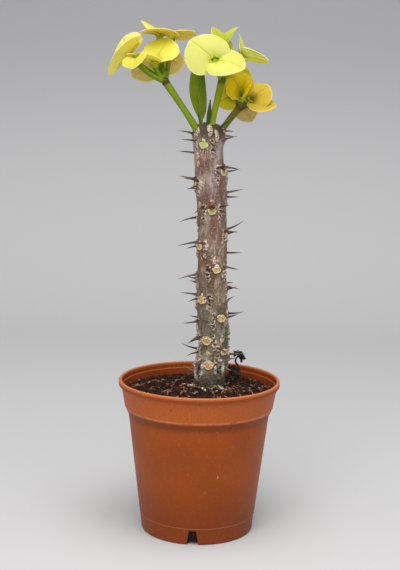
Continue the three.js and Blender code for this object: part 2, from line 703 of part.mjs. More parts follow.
const clusters = [
  ["left", LEFT_BLOOMS, COLOURS.paleBract],
  ["middle", MIDDLE_BLOOMS, COLOURS.paleBract],
  ["right", RIGHT_BLOOMS, COLOURS.goldBract],
];
clusters.forEach(([side, blooms, colour]) => {
  Object.entries(blooms).forEach(([key, spec]) => {
    const tint = key.startsWith("young") ? COLOURS.youngBract : colour;
    plant.add(bloom(`bloom_${side}_${key}`, spec, tint));
  });
});

const potted = new THREE.Group();
potted.add(named("pot", pot(), COLOURS.terracotta));
potted.add(named("soil", soil([stemCore(CLEARANCE), witheredHole()]), COLOURS.peat));
potted.add(plant);
potted.add(named("withered_flower", withered(), COLOURS.withered));

export default potted;
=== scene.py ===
import random
from math import cos, exp, floor, hypot, pi, radians, sin, sqrt, tan, tau

import bmesh
import bpy
import numpy as np
from mathutils import Matrix, Vector, noise


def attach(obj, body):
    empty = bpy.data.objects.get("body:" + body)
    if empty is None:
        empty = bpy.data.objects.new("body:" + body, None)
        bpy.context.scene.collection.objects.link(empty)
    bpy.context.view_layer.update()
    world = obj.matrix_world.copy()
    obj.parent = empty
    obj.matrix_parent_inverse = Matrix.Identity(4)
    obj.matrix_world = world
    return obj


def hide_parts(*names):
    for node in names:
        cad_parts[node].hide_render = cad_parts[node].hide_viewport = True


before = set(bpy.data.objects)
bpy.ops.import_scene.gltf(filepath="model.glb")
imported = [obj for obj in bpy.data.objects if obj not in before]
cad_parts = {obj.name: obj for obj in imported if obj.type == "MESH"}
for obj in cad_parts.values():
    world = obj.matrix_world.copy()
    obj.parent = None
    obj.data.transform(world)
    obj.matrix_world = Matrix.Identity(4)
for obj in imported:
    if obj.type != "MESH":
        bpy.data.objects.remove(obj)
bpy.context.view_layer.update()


# Pot. A nursery pot moulded in one piece from terracotta-coloured polypropylene: a tapered wall, a
# stepped-out collar with a rolled lip, a stacking ledge inside, and four drain notches at the foot.

POT_SIDES = 160
POT_PROFILE = [  # radius, height and rounding of each corner, in millimetres
    (0, 0, 0), (36.6, 0, 1.6), (37.65, 10.8, 0), (37.9, 11.05, 0), (45.9, 77.5, 0.7),
    (48.4, 82.5, 0.6), (50.8, 96.2, 0.5), (52.5, 96.2, 0.8), (52.5, 100, 0.9), (50.4, 100, 0.9),
    (50.4, 95.7, 0.35), (49.5, 95.7, 0.2), (47.2, 82.5, 1.4), (44.7, 77.5, 1.6), (35.6, 2.8, 0),
    (34.2, 1.6, 0), (0, 1.6, 0),
]
OUTER_WALL = [(0, 36.6), (77.5, 45.9), (82.5, 48.4), (96.2, 50.8), (98, 51.6), (98.1, 0)]  # height, radius
INNER_DEPTH = 0.6  # what lies this far inside the outer wall counts as the pot's inside
NOTCH_COUNT = 4
FIRST_NOTCH = -4  # degrees from the front
NOTCH_TOP = (4.5, 9.6)  # width and height of the cut at its top
NOTCH_FOOT = (8.14, -1)  # and at its foot, just under the pot
NOTCH_REACH = (30, 52)  # inner and outer radius of the cut


def paint(red, green, blue):
    """A colour as it looks on a screen, each part from 0 to 255, turned into a shader's colour."""
    parts = [part / 255 for part in (red, green, blue)]
    return (*[p / 12.92 if p < 0.04 else ((p + 0.055) / 1.055) ** 2.4 for p in parts], 1)


class Value:
    """A socket of a finish. Sums on it add Math nodes."""

    def __init__(self, finish, socket):
        self.finish = finish
        self.socket = socket

    def math(self, operation, *values):
        return self.finish.node("Math", {"operation": operation}, dict(enumerate(values)))

    def __add__(self, other):
        return self.math("ADD", self, other)

    def __sub__(self, other):
        return self.math("SUBTRACT", self, other)

    def __mul__(self, other):
        return self.math("MULTIPLY", self, other)

    __radd__ = __add__
    __rmul__ = __mul__

    def __abs__(self):
        return self.math("ABSOLUTE", self)

    def wave(self):
        return self.math("SINE", self)

    def band(self, low, high):
        """0 up to low, 1 from high on, and a smooth step between them. low may be the higher one."""
        settings = {"interpolation_type": "SMOOTHSTEP"}
        return self.finish.node("MapRange", settings, {0: self, 1: low, 2: high, 3: 0, 4: 1})

    def stripe(self, start, full, fade, end):
        """1 from full to fade, and 0 before start and after end."""
        return self.band(start, full) * self.band(end, fade)


class Finish:
    """A material in the making. Its colour is built up in coats, each over the ones before."""

    def __init__(self, name):
        self.material = bpy.data.materials.new(name)
        self.material.use_nodes = True
        self.tree = self.material.node_tree
        self.tree.nodes.clear()
        self.colour = None

    def node(self, kind, settings=None, inputs=None, output=0):
        """Adds a node: its settings first, then the values or links of its sockets."""
        made = self.tree.nodes.new("ShaderNode" + kind)
        for key, value in (settings or {}).items():
            setattr(made, key, value)
        for key, value in (inputs or {}).items():
            if isinstance(value, Value):
                self.tree.links.new(value.socket, made.inputs[key])
            else:
                made.inputs[key].default_value = value
        return Value(self, made.outputs[output])

    def place(self, tall=1):
        """Where a point lies on the piece, in millimetres, for a pattern drawn out upwards by tall."""
        at = self.node("TexCoord", output="Object")
        return self.node("Mapping", inputs={"Vector": at, "Scale": (1000, 1000, 1000 / tall)})

    def height(self):
        """How high a point lies, in millimetres."""
        return self.node("SeparateXYZ", inputs={0: self.place()}, output=2)

    def distance(self, at, tall=1):
        """How far a point lies from this place, in millimetres."""
        return self.node("VectorMath", {"operation": "DISTANCE"}, {0: self.place(tall), 1: at}, output=1)

    def noise(self, size, detail=2, tall=1, roughness=0.5):
        """Soft random patches of about this size in millimetres, from 0 to 1."""
        inputs = {"Vector": self.place(tall), "Scale": 1 / size, "Detail": detail, "Roughness": roughness}
        return self.node("TexNoise", inputs=inputs)

    def specks(self, spacing):
        """The distance to the nearest of many scattered points, as a share of their spacing."""
        return self.node("TexVoronoi", inputs={"Vector": self.place(), "Scale": 1 / spacing})

    def patches(self, low, high, size, *look):
        """Where noise of this size and look lies past high, with a soft edge that starts at low."""
        return self.noise(size, *look).band(low, high)

    def mix(self, share, first, second):
        """The first colour, going over to the second as share goes from 0 to 1."""
        first, second = (hue if isinstance(hue, Value) else paint(*hue) for hue in (first, second))
        return self.node("Mix", {"data_type": "RGBA"}, {0: share, 6: first, 7: second}, output=2)

    def base(self, share, first, second):
        self.colour = self.mix(share, first, second)

    def coat(self, share, hue):
        self.colour = self.mix(share, self.colour, hue)

    def mask(self, name):
        return self.node("Attribute", {"attribute_name": name}, output=2)

    def bump(self, height, depth):
        """A relief of this depth in millimetres."""
        inputs = {"Height": height, "Strength": 1, "Distance": depth / 1000}
        return self.node("Bump", inputs=inputs)

    def done(self, rough, relief=None, shine=0.5, glow=0, depth=(1, 1, 1)):
        """The material: glow is how much light goes in, and depth how far its red, green and blue do."""
        inputs = {"Base Color": self.colour, "Roughness": rough, "Specular IOR Level": shine}
        if relief:
            inputs["Normal"] = relief
        if glow:
            within = {"Weight": glow, "Radius": depth, "Scale": 0.001}
            inputs.update({f"Subsurface {key}": value for key, value in within.items()})
        shader = self.node("BsdfPrincipled", inputs=inputs)
        out = self.tree.nodes.new("ShaderNodeOutputMaterial")
        self.tree.links.new(shader.socket, out.inputs["Surface"])
        return self.material


def outward(bm):
    bmesh.ops.recalc_face_normals(bm, faces=bm.faces)
    return bm


def net(columns, rows):
    """A flat net of squares, from -1 to 1 each way."""
    bm = bmesh.new()
    bmesh.ops.create_grid(bm, x_segments=columns, y_segments=rows, size=1)
    return bm


def keep(bm, name, values):
    """Keeps a number at each corner, under a name that a finish reads as a mask."""
    layer = bm.verts.layers.float.new(name)
    for vert, value in zip(bm.verts, values):
        vert[layer] = float(value)


def turned(profile, steps):
    """A bmesh of a profile, given as radius and height, turned round the upright axis."""
    bm = bmesh.new()
    corners = [bm.verts.new((radius, 0, height)) for radius, height in profile]
    for first, second in zip(corners, corners[1:]):
        bm.edges.new((first, second))
    bmesh.ops.spin(
        bm, geom=bm.verts[:] + bm.edges[:], cent=(0, 0, 0), axis=(0, 0, 1), dvec=(0, 0, 0),
        angle=tau, steps=steps, use_merge=True)
    bmesh.ops.remove_doubles(bm, verts=bm.verts, dist=0.001)
    return outward(bm)


def mesh_of(name, bm):
    mesh = bpy.data.meshes.new(name)
    bm.to_mesh(mesh)
    bm.free()
    return mesh


def stand(name, data):
    """Puts an object in the scene."""
    made = bpy.data.objects.new(name, data)
    bpy.context.scene.collection.objects.link(made)
    return made


def to_metres(bm):
    bmesh.ops.scale(bm, vec=(0.001, 0.001, 0.001), verts=bm.verts)


def piece(name, bm, material, slot, *nodes, sharp=40):
    """Makes a piece of the part from a bmesh drawn in millimetres."""
    to_metres(bm)
    for face in bm.faces:
        face.smooth = True
    for edge in bm.edges:
        edge.smooth = edge.calc_face_angle(0) < radians(sharp)
    made = stand(name, mesh_of(name, bm))
    made.data.materials.append(material)
    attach(made, "root")
    if nodes:
        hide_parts(*nodes)
    return made


def settle(made):
    """Applies a piece's modifiers to its mesh."""
    graph = bpy.context.evaluated_depsgraph_get()
    graph.update()
    mesh = bpy.data.meshes.new_from_object(made.evaluated_get(graph))
    made.modifiers.clear()
    made.data = mesh


pot = turned([corner[:2] for corner in POT_PROFILE], POT_SIDES)
for radius, height, rounding in POT_PROFILE:
    if rounding:
        ring = [
            edge for edge in pot.edges
            if all(abs(v.co.z - height) < 0.01 and abs(v.co.xy.length - radius) < 0.01 for v in edge.verts)
        ]
        bmesh.ops.bevel(
            pot, geom=ring, offset=rounding, offset_type="OFFSET", segments=4, profile=0.5,
            affect="EDGES", material=-1)

walls = [np.interp(vert.co.z, *zip(*OUTER_WALL)) for vert in pot.verts]
keep(pot, "inner", [vert.co.xy.length < wall - INNER_DEPTH for vert, wall in zip(pot.verts, walls)])

notches = bmesh.new()
for count in range(NOTCH_COUNT):
    made = bmesh.ops.create_cube(notches, size=1)["verts"]
    for vert in made:
        width, height = NOTCH_TOP if vert.co.z > 0 else NOTCH_FOOT
        vert.co = (vert.co.x * width, -NOTCH_REACH[0 if vert.co.y > 0 else 1], height)
    turn = Matrix.Rotation(radians(FIRST_NOTCH + 360 * count / NOTCH_COUNT), 3, "Z")
    bmesh.ops.rotate(notches, verts=made, cent=(0, 0, 0), matrix=turn)
to_metres(notches)
notch_cutter = stand("notches", mesh_of("notches", outward(notches)))

plastic = Finish("terracotta_plastic")
tone = plastic.noise(30, 3)
level = plastic.height()
plastic.base(tone.band(0.3, 0.7), (166, 76, 14), (152, 70, 12))
# Painted light from above: lighter on the collar and darker towards the foot.
plastic.coat(level.band(80, 84), (184, 92, 36))
plastic.coat((level + tone * 16).band(52, 8) * 0.7, (134, 58, 12))
# Painted shade under the collar's step and under the lip.
under_step_shade = level.stripe(74, 79, 80.8, 82.2) + level.stripe(95.8, 96.8, 97.9, 98.7)
plastic.coat(under_step_shade * 0.55, (84, 34, 10))
# Painted highlight along the collar's lower edge, broken into patches.
collar_edge_highlight = level.stripe(81.6, 82.4, 82.8, 83.8) * plastic.patches(0.3, 0.55, 6, 3)
# Painted highlight along the small step of the moulding seam.
seam_highlight = level.stripe(10.5, 10.9, 11.1, 11.5)
# Painted highlight along the top of the rim.
rim_top_highlight = level.band(99, 99.8)
# The three painted highlights above, in one coat.
plastic.coat(collar_edge_highlight * 0.45 + seam_highlight * 0.4 + rim_top_highlight * 0.35, (222, 150, 112))
fleck = plastic.patches(0.63, 0.7, 0.7, 2, 1.6) * plastic.patches(0.44, 0.6, 5)
dusty = plastic.patches(0.4, 0.6, 14, 3) * level.band(66, 84)
plastic.coat(fleck * (dusty * 0.65 + 0.12), (212, 146, 102))
pock = plastic.specks(7).band(0.075, 0.045) * plastic.patches(0.46, 0.54, 5, 1)
plastic.coat(pock * 0.85, (52, 20, 8))
scuff = plastic.patches(0.72, 0.76, 1.8, 3, 3, 0.7) * plastic.patches(0.5, 0.6, 9, 1)
plastic.coat(scuff * 0.6, (232, 184, 148))
chip = plastic.distance((12.7, -40.3, 15.5), 3) + plastic.noise(1)
plastic.coat(chip.band(1, 0.6) * 0.85, (240, 204, 174))
mottle = plastic.patches(0.56, 0.7, 2.2, 3, 1.6, 0.65)
plastic.coat(mottle * 0.22, (190, 112, 52))
grime = plastic.patches(0.42, 0.3, 1.1, 3, 1.4, 0.65)
plastic.coat(grime * 0.3, (108, 50, 16))
grain = plastic.patches(0.46, 0.66, 0.8, 2, 1, 0.6)
plastic.coat(grain * 0.22, (118, 46, 8))
# Painted shade over the pot's inside.
plastic.coat(plastic.mask("inner") * 0.75, (96, 36, 12))
pot_relief = plastic.bump(plastic.noise(0.7, 3) + plastic.noise(3.5) * 0.8, 0.05)
terracotta = plastic.done(0.4 + 0.16 * plastic.noise(5, 4), pot_relief, shine=0.22)

pot_piece = piece("moulded_pot", pot, terracotta, "terracotta_plastic", "pot", sharp=50)
cut = pot_piece.modifiers.new("notches", "BOOLEAN")
cut.operation = "DIFFERENCE"
cut.solver = "EXACT"
cut.object = notch_cutter
settle(pot_piece)
bpy.data.objects.remove(notch_cutter)


# Peat. Moist brown peat that fills the pot to a lumpy mound just under the ledge, shaken in loose and
# settled by watering, and closed below where it shows in the drain notches.

SOIL_EDGE = 91.6
SOIL_MOUND = 5
SOIL_TILT = 0.03
SOIL_RADIUS = 48.5
SOIL_NET = 190  # squares across its top
SOIL_SIDE = [(46.9, 82.5), (44.4, 77.5), (35.3, 3.2), (33.8, 1.9)]  # radius and height down the pot's wall
CRUMB = 0.9
FINE_CRUMBS = [(0.9, 0.55), (0.7, 1.2), (0.45, 2.4)]  # height and fineness of each layer of them


def lumps(x, y):
    coarse = sin(0.31 * x + 1.3) * cos(0.27 * y - 0.4)
    fine = sin(0.83 * x - 0.5 * y) * cos(0.71 * y + 0.6 * x + 2)
    return CRUMB * (0.6 * coarse + 0.8 * fine)


def soil_height(x, y):
    """Height of the peat's surface, without its finest crumbs."""
    share = min(1, hypot(x, y) / SOIL_RADIUS)
    inside = min(1, (1 - share) * 12)
    return SOIL_EDGE + SOIL_MOUND * (1 - share) + inside * (lumps(x, y) - SOIL_TILT * y)


def over_soil(x, y, lift):
    return Vector((x, y, soil_height(x, y) + lift))


soil = net(SOIL_NET, SOIL_NET)
for vert in soil.verts:
    x = vert.co.x * sqrt(1 - vert.co.y ** 2 / 2) * SOIL_RADIUS
    y = vert.co.y * sqrt(1 - vert.co.x ** 2 / 2) * SOIL_RADIUS
    edge = min(1, (SOIL_RADIUS - hypot(x, y)) / 2)
    crumbs = sum(high * noise.noise(Vector((x, y, 0)) * fine) for high, fine in FINE_CRUMBS)
    vert.co = over_soil(x, y, crumbs * edge)
for radius, height in SOIL_SIDE:
    wall = [edge for edge in soil.edges if edge.is_boundary]
    made = bmesh.ops.extrude_edge_only(soil, edges=wall)["geom"]
    for vert in (item for item in made if isinstance(item, bmesh.types.BMVert)):
        flat = vert.co.xy.normalized() * radius
        vert.co = (flat.x, flat.y, height)
bmesh.ops.contextual_create(soil, geom=[edge for edge in soil.edges if edge.is_boundary])

peat = Finish("peat")
peat.base(peat.patches(0.35, 0.65, 7, 3), (24, 14, 10), (52, 30, 20))
peat.coat(peat.patches(0.6, 0.72, 0.9), (84, 50, 32))
peat_relief = peat.bump(peat.noise(0.5, 4, roughness=0.7), 0.5)
moist_peat = peat.done(0.9, peat_relief, shine=0.25)
piece("peat_fill", outward(soil), moist_peat, "peat", "soil", sharp=80)


# Crumbs and fibres. Loose bits of the same peat on its surface: rounded crumbs, thin root fibres and
# splinters lying every way, with some pale chips of wood and dried root round the stem.

CRUMB_COUNT = 900
FIBRE_COUNT = 900
FIBRE_LENGTHS = (2.6, 8)
FIBRE_RADII = (0.16, 0.4)
CHIP_COUNT = 46
STEM_FOOT = Vector((6.4, 0))
STEM_CLEARANCE = 9.6  # no loose bit lies nearer to the middle of the stem's foot
PATH_STEPS = 24  # between two points of a path


def smooth_path(points):
    """A curve through the points, as a function of the share of its length from 0 to 1."""
    points = [Vector(point) for point in points]
    before = points[0] * 2 - points[1]
    after = points[-1] * 2 - points[-2]
    chain = [before, *points, after]
    fine = []
    for i in range(len(points) - 1):
        a, b, c, d = chain[i:i + 4]
        first, middle, last = [max((q - p).length, 1e-6) ** 0.5 for p, q in ((a, b), (b, c), (c, d))]
        start = ((b - a) / first - (c - a) / (first + middle) + (c - b) / middle) * middle
        end = ((c - b) / middle - (d - b) / (middle + last) + (d - c) / last) * middle
        for k in range(PATH_STEPS):
            t = k / PATH_STEPS
            fine.append(
                b * (2 * t ** 3 - 3 * t ** 2 + 1) + c * (3 * t ** 2 - 2 * t ** 3)
                + start * (t ** 3 - 2 * t ** 2 + t) + end * (t ** 3 - t ** 2))
    fine.append(points[-1])
    lengths = [0]
    for p, q in zip(fine, fine[1:]):
        lengths.append(lengths[-1] + (q - p).length)

    def path(share):
        goal = min(max(share, 0), 1) * lengths[-1]
        i = int(np.searchsorted(lengths, goal, side="right")) - 1
        i = min(max(i, 0), len(fine) - 2)
        part = (goal - lengths[i]) / max(lengths[i + 1] - lengths[i], 1e-9)
        return fine[i].lerp(fine[i + 1], part)

    return path


def sweep(path, radius_at, sides, steps):
    """A closed tube along path(t) whose radius is radius_at(t), t running from 0 to 1."""
    bm = net(sides, steps + 2)
    rows = []
    across = None
    for step in range(steps + 1):
        t = step / steps
        way = (path(min(1, t + 0.01)) - path(max(0, t - 0.01))).normalized()
        if across is None:
            across = way.orthogonal().normalized()
        across = (across - way * across.dot(way)).normalized()
        rows.append((path(t), across.copy(), way.cross(across), radius_at(t)))
    for vert in bm.verts:
        row = round((vert.co.y + 1) / 2 * (steps + 2)) - 1
        centre, side, above, radius = rows[min(max(row, 0), steps)]
        if row < 0 or row > steps:
            radius = 0
        turn = pi * (1 + vert.co.x)
        vert.co = centre + (side * cos(turn) + above * sin(turn)) * radius
    bmesh.ops.remove_doubles(bm, verts=bm.verts, dist=1e-5)
    return outward(bm)


def gather(parts):
    """One bmesh of several."""
    whole = bmesh.new()
    scrap = bpy.data.meshes.new("part")
    for part in parts:
        part.to_mesh(scrap)
        part.free()
        whole.from_mesh(scrap)
    bpy.data.meshes.remove(scrap)
    return whole


def tubes(drawn):
    """A bmesh of many tubes, each given as the values that sweep takes."""
    return gather(sweep(*values) for values in drawn)


def on_soil(draw, spread=SOIL_RADIUS - 1.2):
    """A random place on the peat, clear of the stem."""
    while True:
        turn = draw.uniform(0, tau)
        reach = spread * sqrt(draw.random())
        at = Vector((reach * sin(turn), reach * cos(turn)))
        if (at - STEM_FOOT).length > STEM_CLEARANCE:
            return at


def pebble(bm, at, radii, draw, roughness=0.3, detail=1):
    """Adds an irregular crumb."""
    turn = draw.uniform(0, tau)
    axis = (draw.random(), draw.random(), 0.5 + draw.random())
    shaped = Matrix.Translation(at) @ Matrix.Rotation(turn, 4, axis) @ Matrix.Diagonal((*radii, 1))
    made = bmesh.ops.create_icosphere(bm, subdivisions=detail, radius=1)["verts"]
    for vert in made:
        vert.co = shaped @ (vert.co * (1 + roughness * (draw.random() - 0.5)))


draw = random.Random(11)
crumbs = bmesh.new()
for count in range(CRUMB_COUNT):
    at = on_soil(draw)
    size = 0.45 + 1.1 * draw.random() ** 3
    radii = [size * draw.uniform(0.7, 1.3) for axis in range(3)]
    pebble(crumbs, over_soil(at.x, at.y, 0.3 * size), radii, draw)
piece("peat_crumbs", outward(crumbs), moist_peat, "peat", sharp=80)


def fibre(draw, at, length, thickness, lift):
    """A bent thread that lies over the peat, with one end a little up, as the values that sweep takes."""
    turn = draw.uniform(0, tau)
    way = Vector((cos(turn), sin(turn), 0))
    side = Vector((-way.y, way.x, 0)) * draw.uniform(-0.25, 0.25) * length
    tilt = draw.uniform(0, 0.32) * length
    points = []
    for share in (-0.5, -0.15, 0.2, 0.5):
        flat = Vector((at.x, at.y, 0)) + way * share * length + side * (1 - 4 * share * share)
        if flat.xy.length > SOIL_RADIUS - 1:
            flat.xy = flat.xy.normalized() * (SOIL_RADIUS - 1)
        points.append(over_soil(flat.x, flat.y, lift + draw.uniform(0, 0.5) + (share + 0.5) * tilt))
    return smooth_path(points), lambda t: thickness * (1 - 0.5 * t), 4, 5


straw = Finish("peat_fibre")
straw.base(straw.patches(0.4, 0.56, 3, 1), (26, 13, 8), (78, 42, 25))
straw.coat(straw.patches(0.57, 0.62, 6, 1), (166, 122, 92))
dry_fibre = straw.done(0.8, shine=0.3)
fibres = tubes(
    fibre(draw, on_soil(draw), draw.uniform(*FIBRE_LENGTHS), draw.uniform(*FIBRE_RADII), 0.8)
    for count in range(FIBRE_COUNT))
piece("peat_fibres", fibres, dry_fibre, "peat")

wood = Finish("pale_chip")
wood.base(wood.patches(0.42, 0.6, 2.5), (120, 84, 60), (216, 200, 178))
pale_chip = wood.done(0.8, wood.bump(wood.noise(0.5, 3), 0.2))
FOOT_CURLS = [  # aside, forward, length and thickness of the curled bits of bark at the stem's foot
    (-13.5, 7.4, 6.5, 0.75), (-11, 9.6, 6, 0.9), (-8.4, 11.4, 5, 0.7), (-5.4, 13.6, 4, 0.8),
    (0.6, 14.6, 4.5, 0.7), (4.6, 12, 7, 0.8), (8.6, 11.6, 6.5, 1.1), (10.6, 13.8, 5, 0.8),
    (13, 10.4, 5, 0.8), (-2.6, 17.4, 3.4, 0.8), (3.4, 18.6, 4, 0.6), (-15.5, 3, 5, 0.6),
]
chips = bmesh.new()
for count in range(CHIP_COUNT):
    turn = draw.uniform(0, tau)
    reach = STEM_CLEARANCE + 1 + 30 * draw.random() ** 3
    x, y = STEM_FOOT.x + reach * sin(turn), -reach * cos(turn)
    long = draw.uniform(0.7, 2)
    if hypot(x, y) < SOIL_RADIUS - 3:
        radii = (long, draw.uniform(0.25, 0.6), draw.uniform(0.25, 0.45))
        pebble(chips, over_soil(x, y, 0.7), radii, draw, 0.5, detail=2)
curls = tubes(
    fibre(draw, Vector((STEM_FOOT.x + aside, -forward)), length, thickness, 1.1)
    for aside, forward, length, thickness in FOOT_CURLS)
piece("pale_chips", outward(chips), pale_chip, "peat", sharp=50)
piece("bark_curls", curls, pale_chip, "peat")


# Stem. A succulent woody stem with greyish bark. Its fallen leaves left scars in a spiral, each a cream
# pad under a dried bud, and beside each scar runs a corky row of pits, where spines grow or have dropped.

STEM = [  # height, sideways lean of its centre and radius
    (60, 6, 6.5), (80, 6.2, 9.2), (96, 6.5, 10.2), (108, 7, 10), (122, 8.3, 9.3), (142, 7.8, 9.7),
    (165, 7, 9.3), (198, 6.8, 8.9), (216, 5.7, 9.3), (224, 5.1, 9.9), (244, 3.4, 9.1), (258, 2.6, 9.8),
    (263, 2.4, 8.4), (266, 2.4, 4.6),
]
STEM_SIDES = 200
STEM_RINGS = 460
STEM_BURIED = 90  # below this height lie only BURIED_RINGS of its rings
BURIED_RINGS = 8
CROWN_FOOT = 264.2  # above this height it closes, in CROWN_RINGS
CROWN_RINGS = 12
MEAN_GIRTH = 9
EASE = 20  # how far its bends are eased, in steps of about a tenth of a millimetre
SCAR_COUNT = 25
FIRST_SCAR = -9  # degrees from the front
SCAR_TURN = 140.5
SCAR_START = 111.8
SCAR_RISE = 1.95
SCAR_SPREAD = 0.26
SCAR_EASE = 0.00345
SCAR_RADIUS = 3
SUNKEN_BUDS = (0, 3, 5, 8)  # the scars whose bud has dried into the pad
SWOLLEN_BUDS = range(16, 22)
SHIELD_HALF_HEIGHT = 6.2
SHIELD_HALF_WIDTH = 1.7
SHIELD_PROUD = 1.1
SHIELD_ANGLE = 32  # degrees to each side of the scar
SHIELD_DROP = 2.2
PIT_TOP = 4.4  # from the middle of a row of pits up to its highest
PIT_PITCH = 2.6
PIT_COUNT = 4
PIT_SIZE = 1.05
FOOT_GROWTH = 0.3  # the lowest rows of pits have swollen by this share
FOOT_FLAPS = [(-48, 107, 3.6, 7.8), (34, 108, 3.6, 6.8), (150, 106, 3.2, 7)]  # angle, height, half sizes
FLAP_PITS = [(0.1, 0.2), (-0.3, -0.2), (0.35, -0.5)]  # aside and up, as shares of a flap's half sizes
PALE_FLAKES = [  # angle, height and half sizes of the scabs of pale cork away from the pits
    (-34, 227.8, 1.3, 3), (38, 238.8, 1.6, 3.2), (8, 179.4, 2, 2), (-31, 189, 1.8, 2.6),
    (58, 195.3, 1.8, 2.6), (5, 217.4, 1.5, 1.3), (-52, 214, 1.4, 2.8), (-47, 243, 1.3, 3.4),
    (40, 128, 1.4, 2.6), (-20, 118.6, 1.6, 1.4),
]
CROWN_PADS = [(8, 261.4, 1.8, 4.3), (-43, 259.6, 1.6, 3.2), (34, 258, 1.5, 3.8)]  # as the flaps above


def stem_section(height):
    """How far the stem leans at this height, and its radius."""
    heights, leans, girths = zip(*STEM)
    return float(np.interp(height, heights, leans)), float(np.interp(height, heights, girths))


def scar_angle(n):
    return FIRST_SCAR + SCAR_TURN * n


def scar_height(n):
    return SCAR_START + SCAR_RISE * n + SCAR_SPREAD * n ** 2 - SCAR_EASE * n ** 3


def bell(distance):
    return np.exp(-distance ** 2)


def step(distance, softness):
    """1 where distance is below zero and 0 above it."""
    return 1 / (1 + np.exp(np.clip(distance / softness, -40, 40)))


stem = net(STEM_SIDES, STEM_RINGS)
turns = np.array([180 * vert.co.x for vert in stem.verts])
rings = np.array([round((vert.co.y + 1) / 2 * STEM_RINGS) for vert in stem.verts])
ring_marks = [0, BURIED_RINGS, STEM_RINGS - CROWN_RINGS, STEM_RINGS]
heights = np.interp(rings, ring_marks, [STEM[0][0], STEM_BURIED, CROWN_FOOT, STEM[-1][0]])
fine_heights = np.linspace(STEM[0][0], STEM[-1][0], 2000)


def eased(column):
    """The stem's lean or girth at each of its corners, with the bends eased."""
    sections = list(zip(*STEM))
    fine = np.interp(fine_heights, sections[0], sections[column])
    fine[EASE:-EASE] = np.convolve(fine, np.ones(2 * EASE + 1) / (2 * EASE + 1), "valid")
    return np.interp(heights, fine_heights, fine)


lean, girth = eased(1), eased(2)


def grown_noise(size, seed):
    """Random swellings of about this size all over the stem, mostly from -0.5 to 0.5."""
    across = np.sin(np.radians(turns)) * MEAN_GIRTH / size
    ahead = np.cos(np.radians(turns)) * MEAN_GIRTH / size
    return np.array([noise.noise(Vector(at)) for at in zip(across + seed, ahead - seed, heights / size)])


waver = grown_noise(2.6, 3)
quaver = grown_noise(2.2, 17)
flake = grown_noise(1.1, 29)
relief = np.zeros(len(turns))
marks = {
    name: np.zeros(len(turns)) for name in ("pad", "rim", "knob", "corky", "hole", "rust", "moss", "flap")}


def mark(name, share):
    marks[name] = np.maximum(marks[name], share)


def around(angle, height):
    """How far each corner of the stem lies aside of a place on it and above it, a little wavered."""
    away = (turns - angle + 180) % 360 - 180
    return np.radians(away) * girth + 0.7 * waver, heights - height + 0.7 * quaver


def pit(side, up, size):
    """Marks a pit in a corky ring, and gives the relief that it adds."""
    far = np.hypot(side, up)
    ring = bell((far - size) / (0.42 * size)) * np.clip(0.8 + 1.6 * flake, 0.25, 1.2)
    hollow = bell(far / (0.62 * size))
    mark("corky", ring)
    mark("hole", hollow)
    return 0.55 * size * ring - 0.6 * size * hollow


def scar(n):
    """Marks a fallen leaf's scar with its bud, and gives the relief that they add."""
    side, up = around(scar_angle(n), scar_height(n))
    size = SCAR_RADIUS * draw.uniform(0.86, 1.02) * (1 + 0.2 * exp(-(n / 12) ** 2))
    reach = np.hypot(side, np.where(up > 0, 1.7 * up, up)) - size
    bud_at, bud_size = draw.uniform(1.9, 3), draw.uniform(0.7, 1.05)
    if n in SUNKEN_BUDS:
        bud_at, bud_size = 0.9, 0.45
    elif n in SWOLLEN_BUDS:
        bud_size *= 1.45
    bud = np.hypot(side, up - bud_at) / bud_size
    mark("pad", step(reach, 0.14))
    mark("rim", bell((reach + 0.4) / 0.42) * (0.45 + 0.55 * step(up - 0.4, 0.2)))
    mark("knob", step(bud - 1.45, 0.18))
    mark("hole", 0.8 * bell(bud / 0.5))
    mark("rust", bell(side / 4.6) * bell((up + 11) / 8) * draw.uniform(0.6, 1))
    mark("moss", bell(side / 4.2) * bell((up + 1) / 6))
    pad = 0.5 * step(reach, 0.14) + 0.35 * bell((reach + 0.45) / 0.4) * step(up - 0.6, 0.2)
    knob = 0.95 * bell(bud / 1.35) - 0.5 * bell(bud / 0.5) - 0.3 * bell((bud - 1.9) / 0.35)
    return pad - 0.45 * bell((reach - 0.45) / 0.4) + knob


def pit_row(n, hand):
    """Marks the corky row of pits on one side of a scar, and gives the relief that it adds."""
    side, up = around(scar_angle(n) + hand * SHIELD_ANGLE, scar_height(n) - SHIELD_DROP)
    growth = 1 + FOOT_GROWTH * exp(-n / 2)
    bent = side - 0.35 * np.sin(up * 0.6 + draw.uniform(0, 6))
    inside = np.abs(bent / SHIELD_HALF_WIDTH / growth) ** 2.5 + (up / SHIELD_HALF_HEIGHT) ** 4
    ridge = step(inside - 1, 0.2)
    mark("corky", np.clip(0.48 + 1.5 * flake, 0.1, 0.85) * ridge)
    row = 0.6 * ridge * (1 + 0.9 * flake) + 0.3 * bell(np.sqrt(inside) / 1.5)
    for i in range(PIT_COUNT):
        at = PIT_TOP - PIT_PITCH * i + draw.uniform(-0.3, 0.3)
        aside = bent + draw.uniform(-0.4, 0.4)
        row += pit(aside, up - at, PIT_SIZE * growth * draw.uniform(0.8, 1.15))
    return row


def oval(angle, height, half_width, half_height):
    """As around, and how far out each corner lies, 1 being on the edge of the oval."""
    side, up = around(angle, height)
    return side, up, np.hypot(side / half_width, up / half_height)


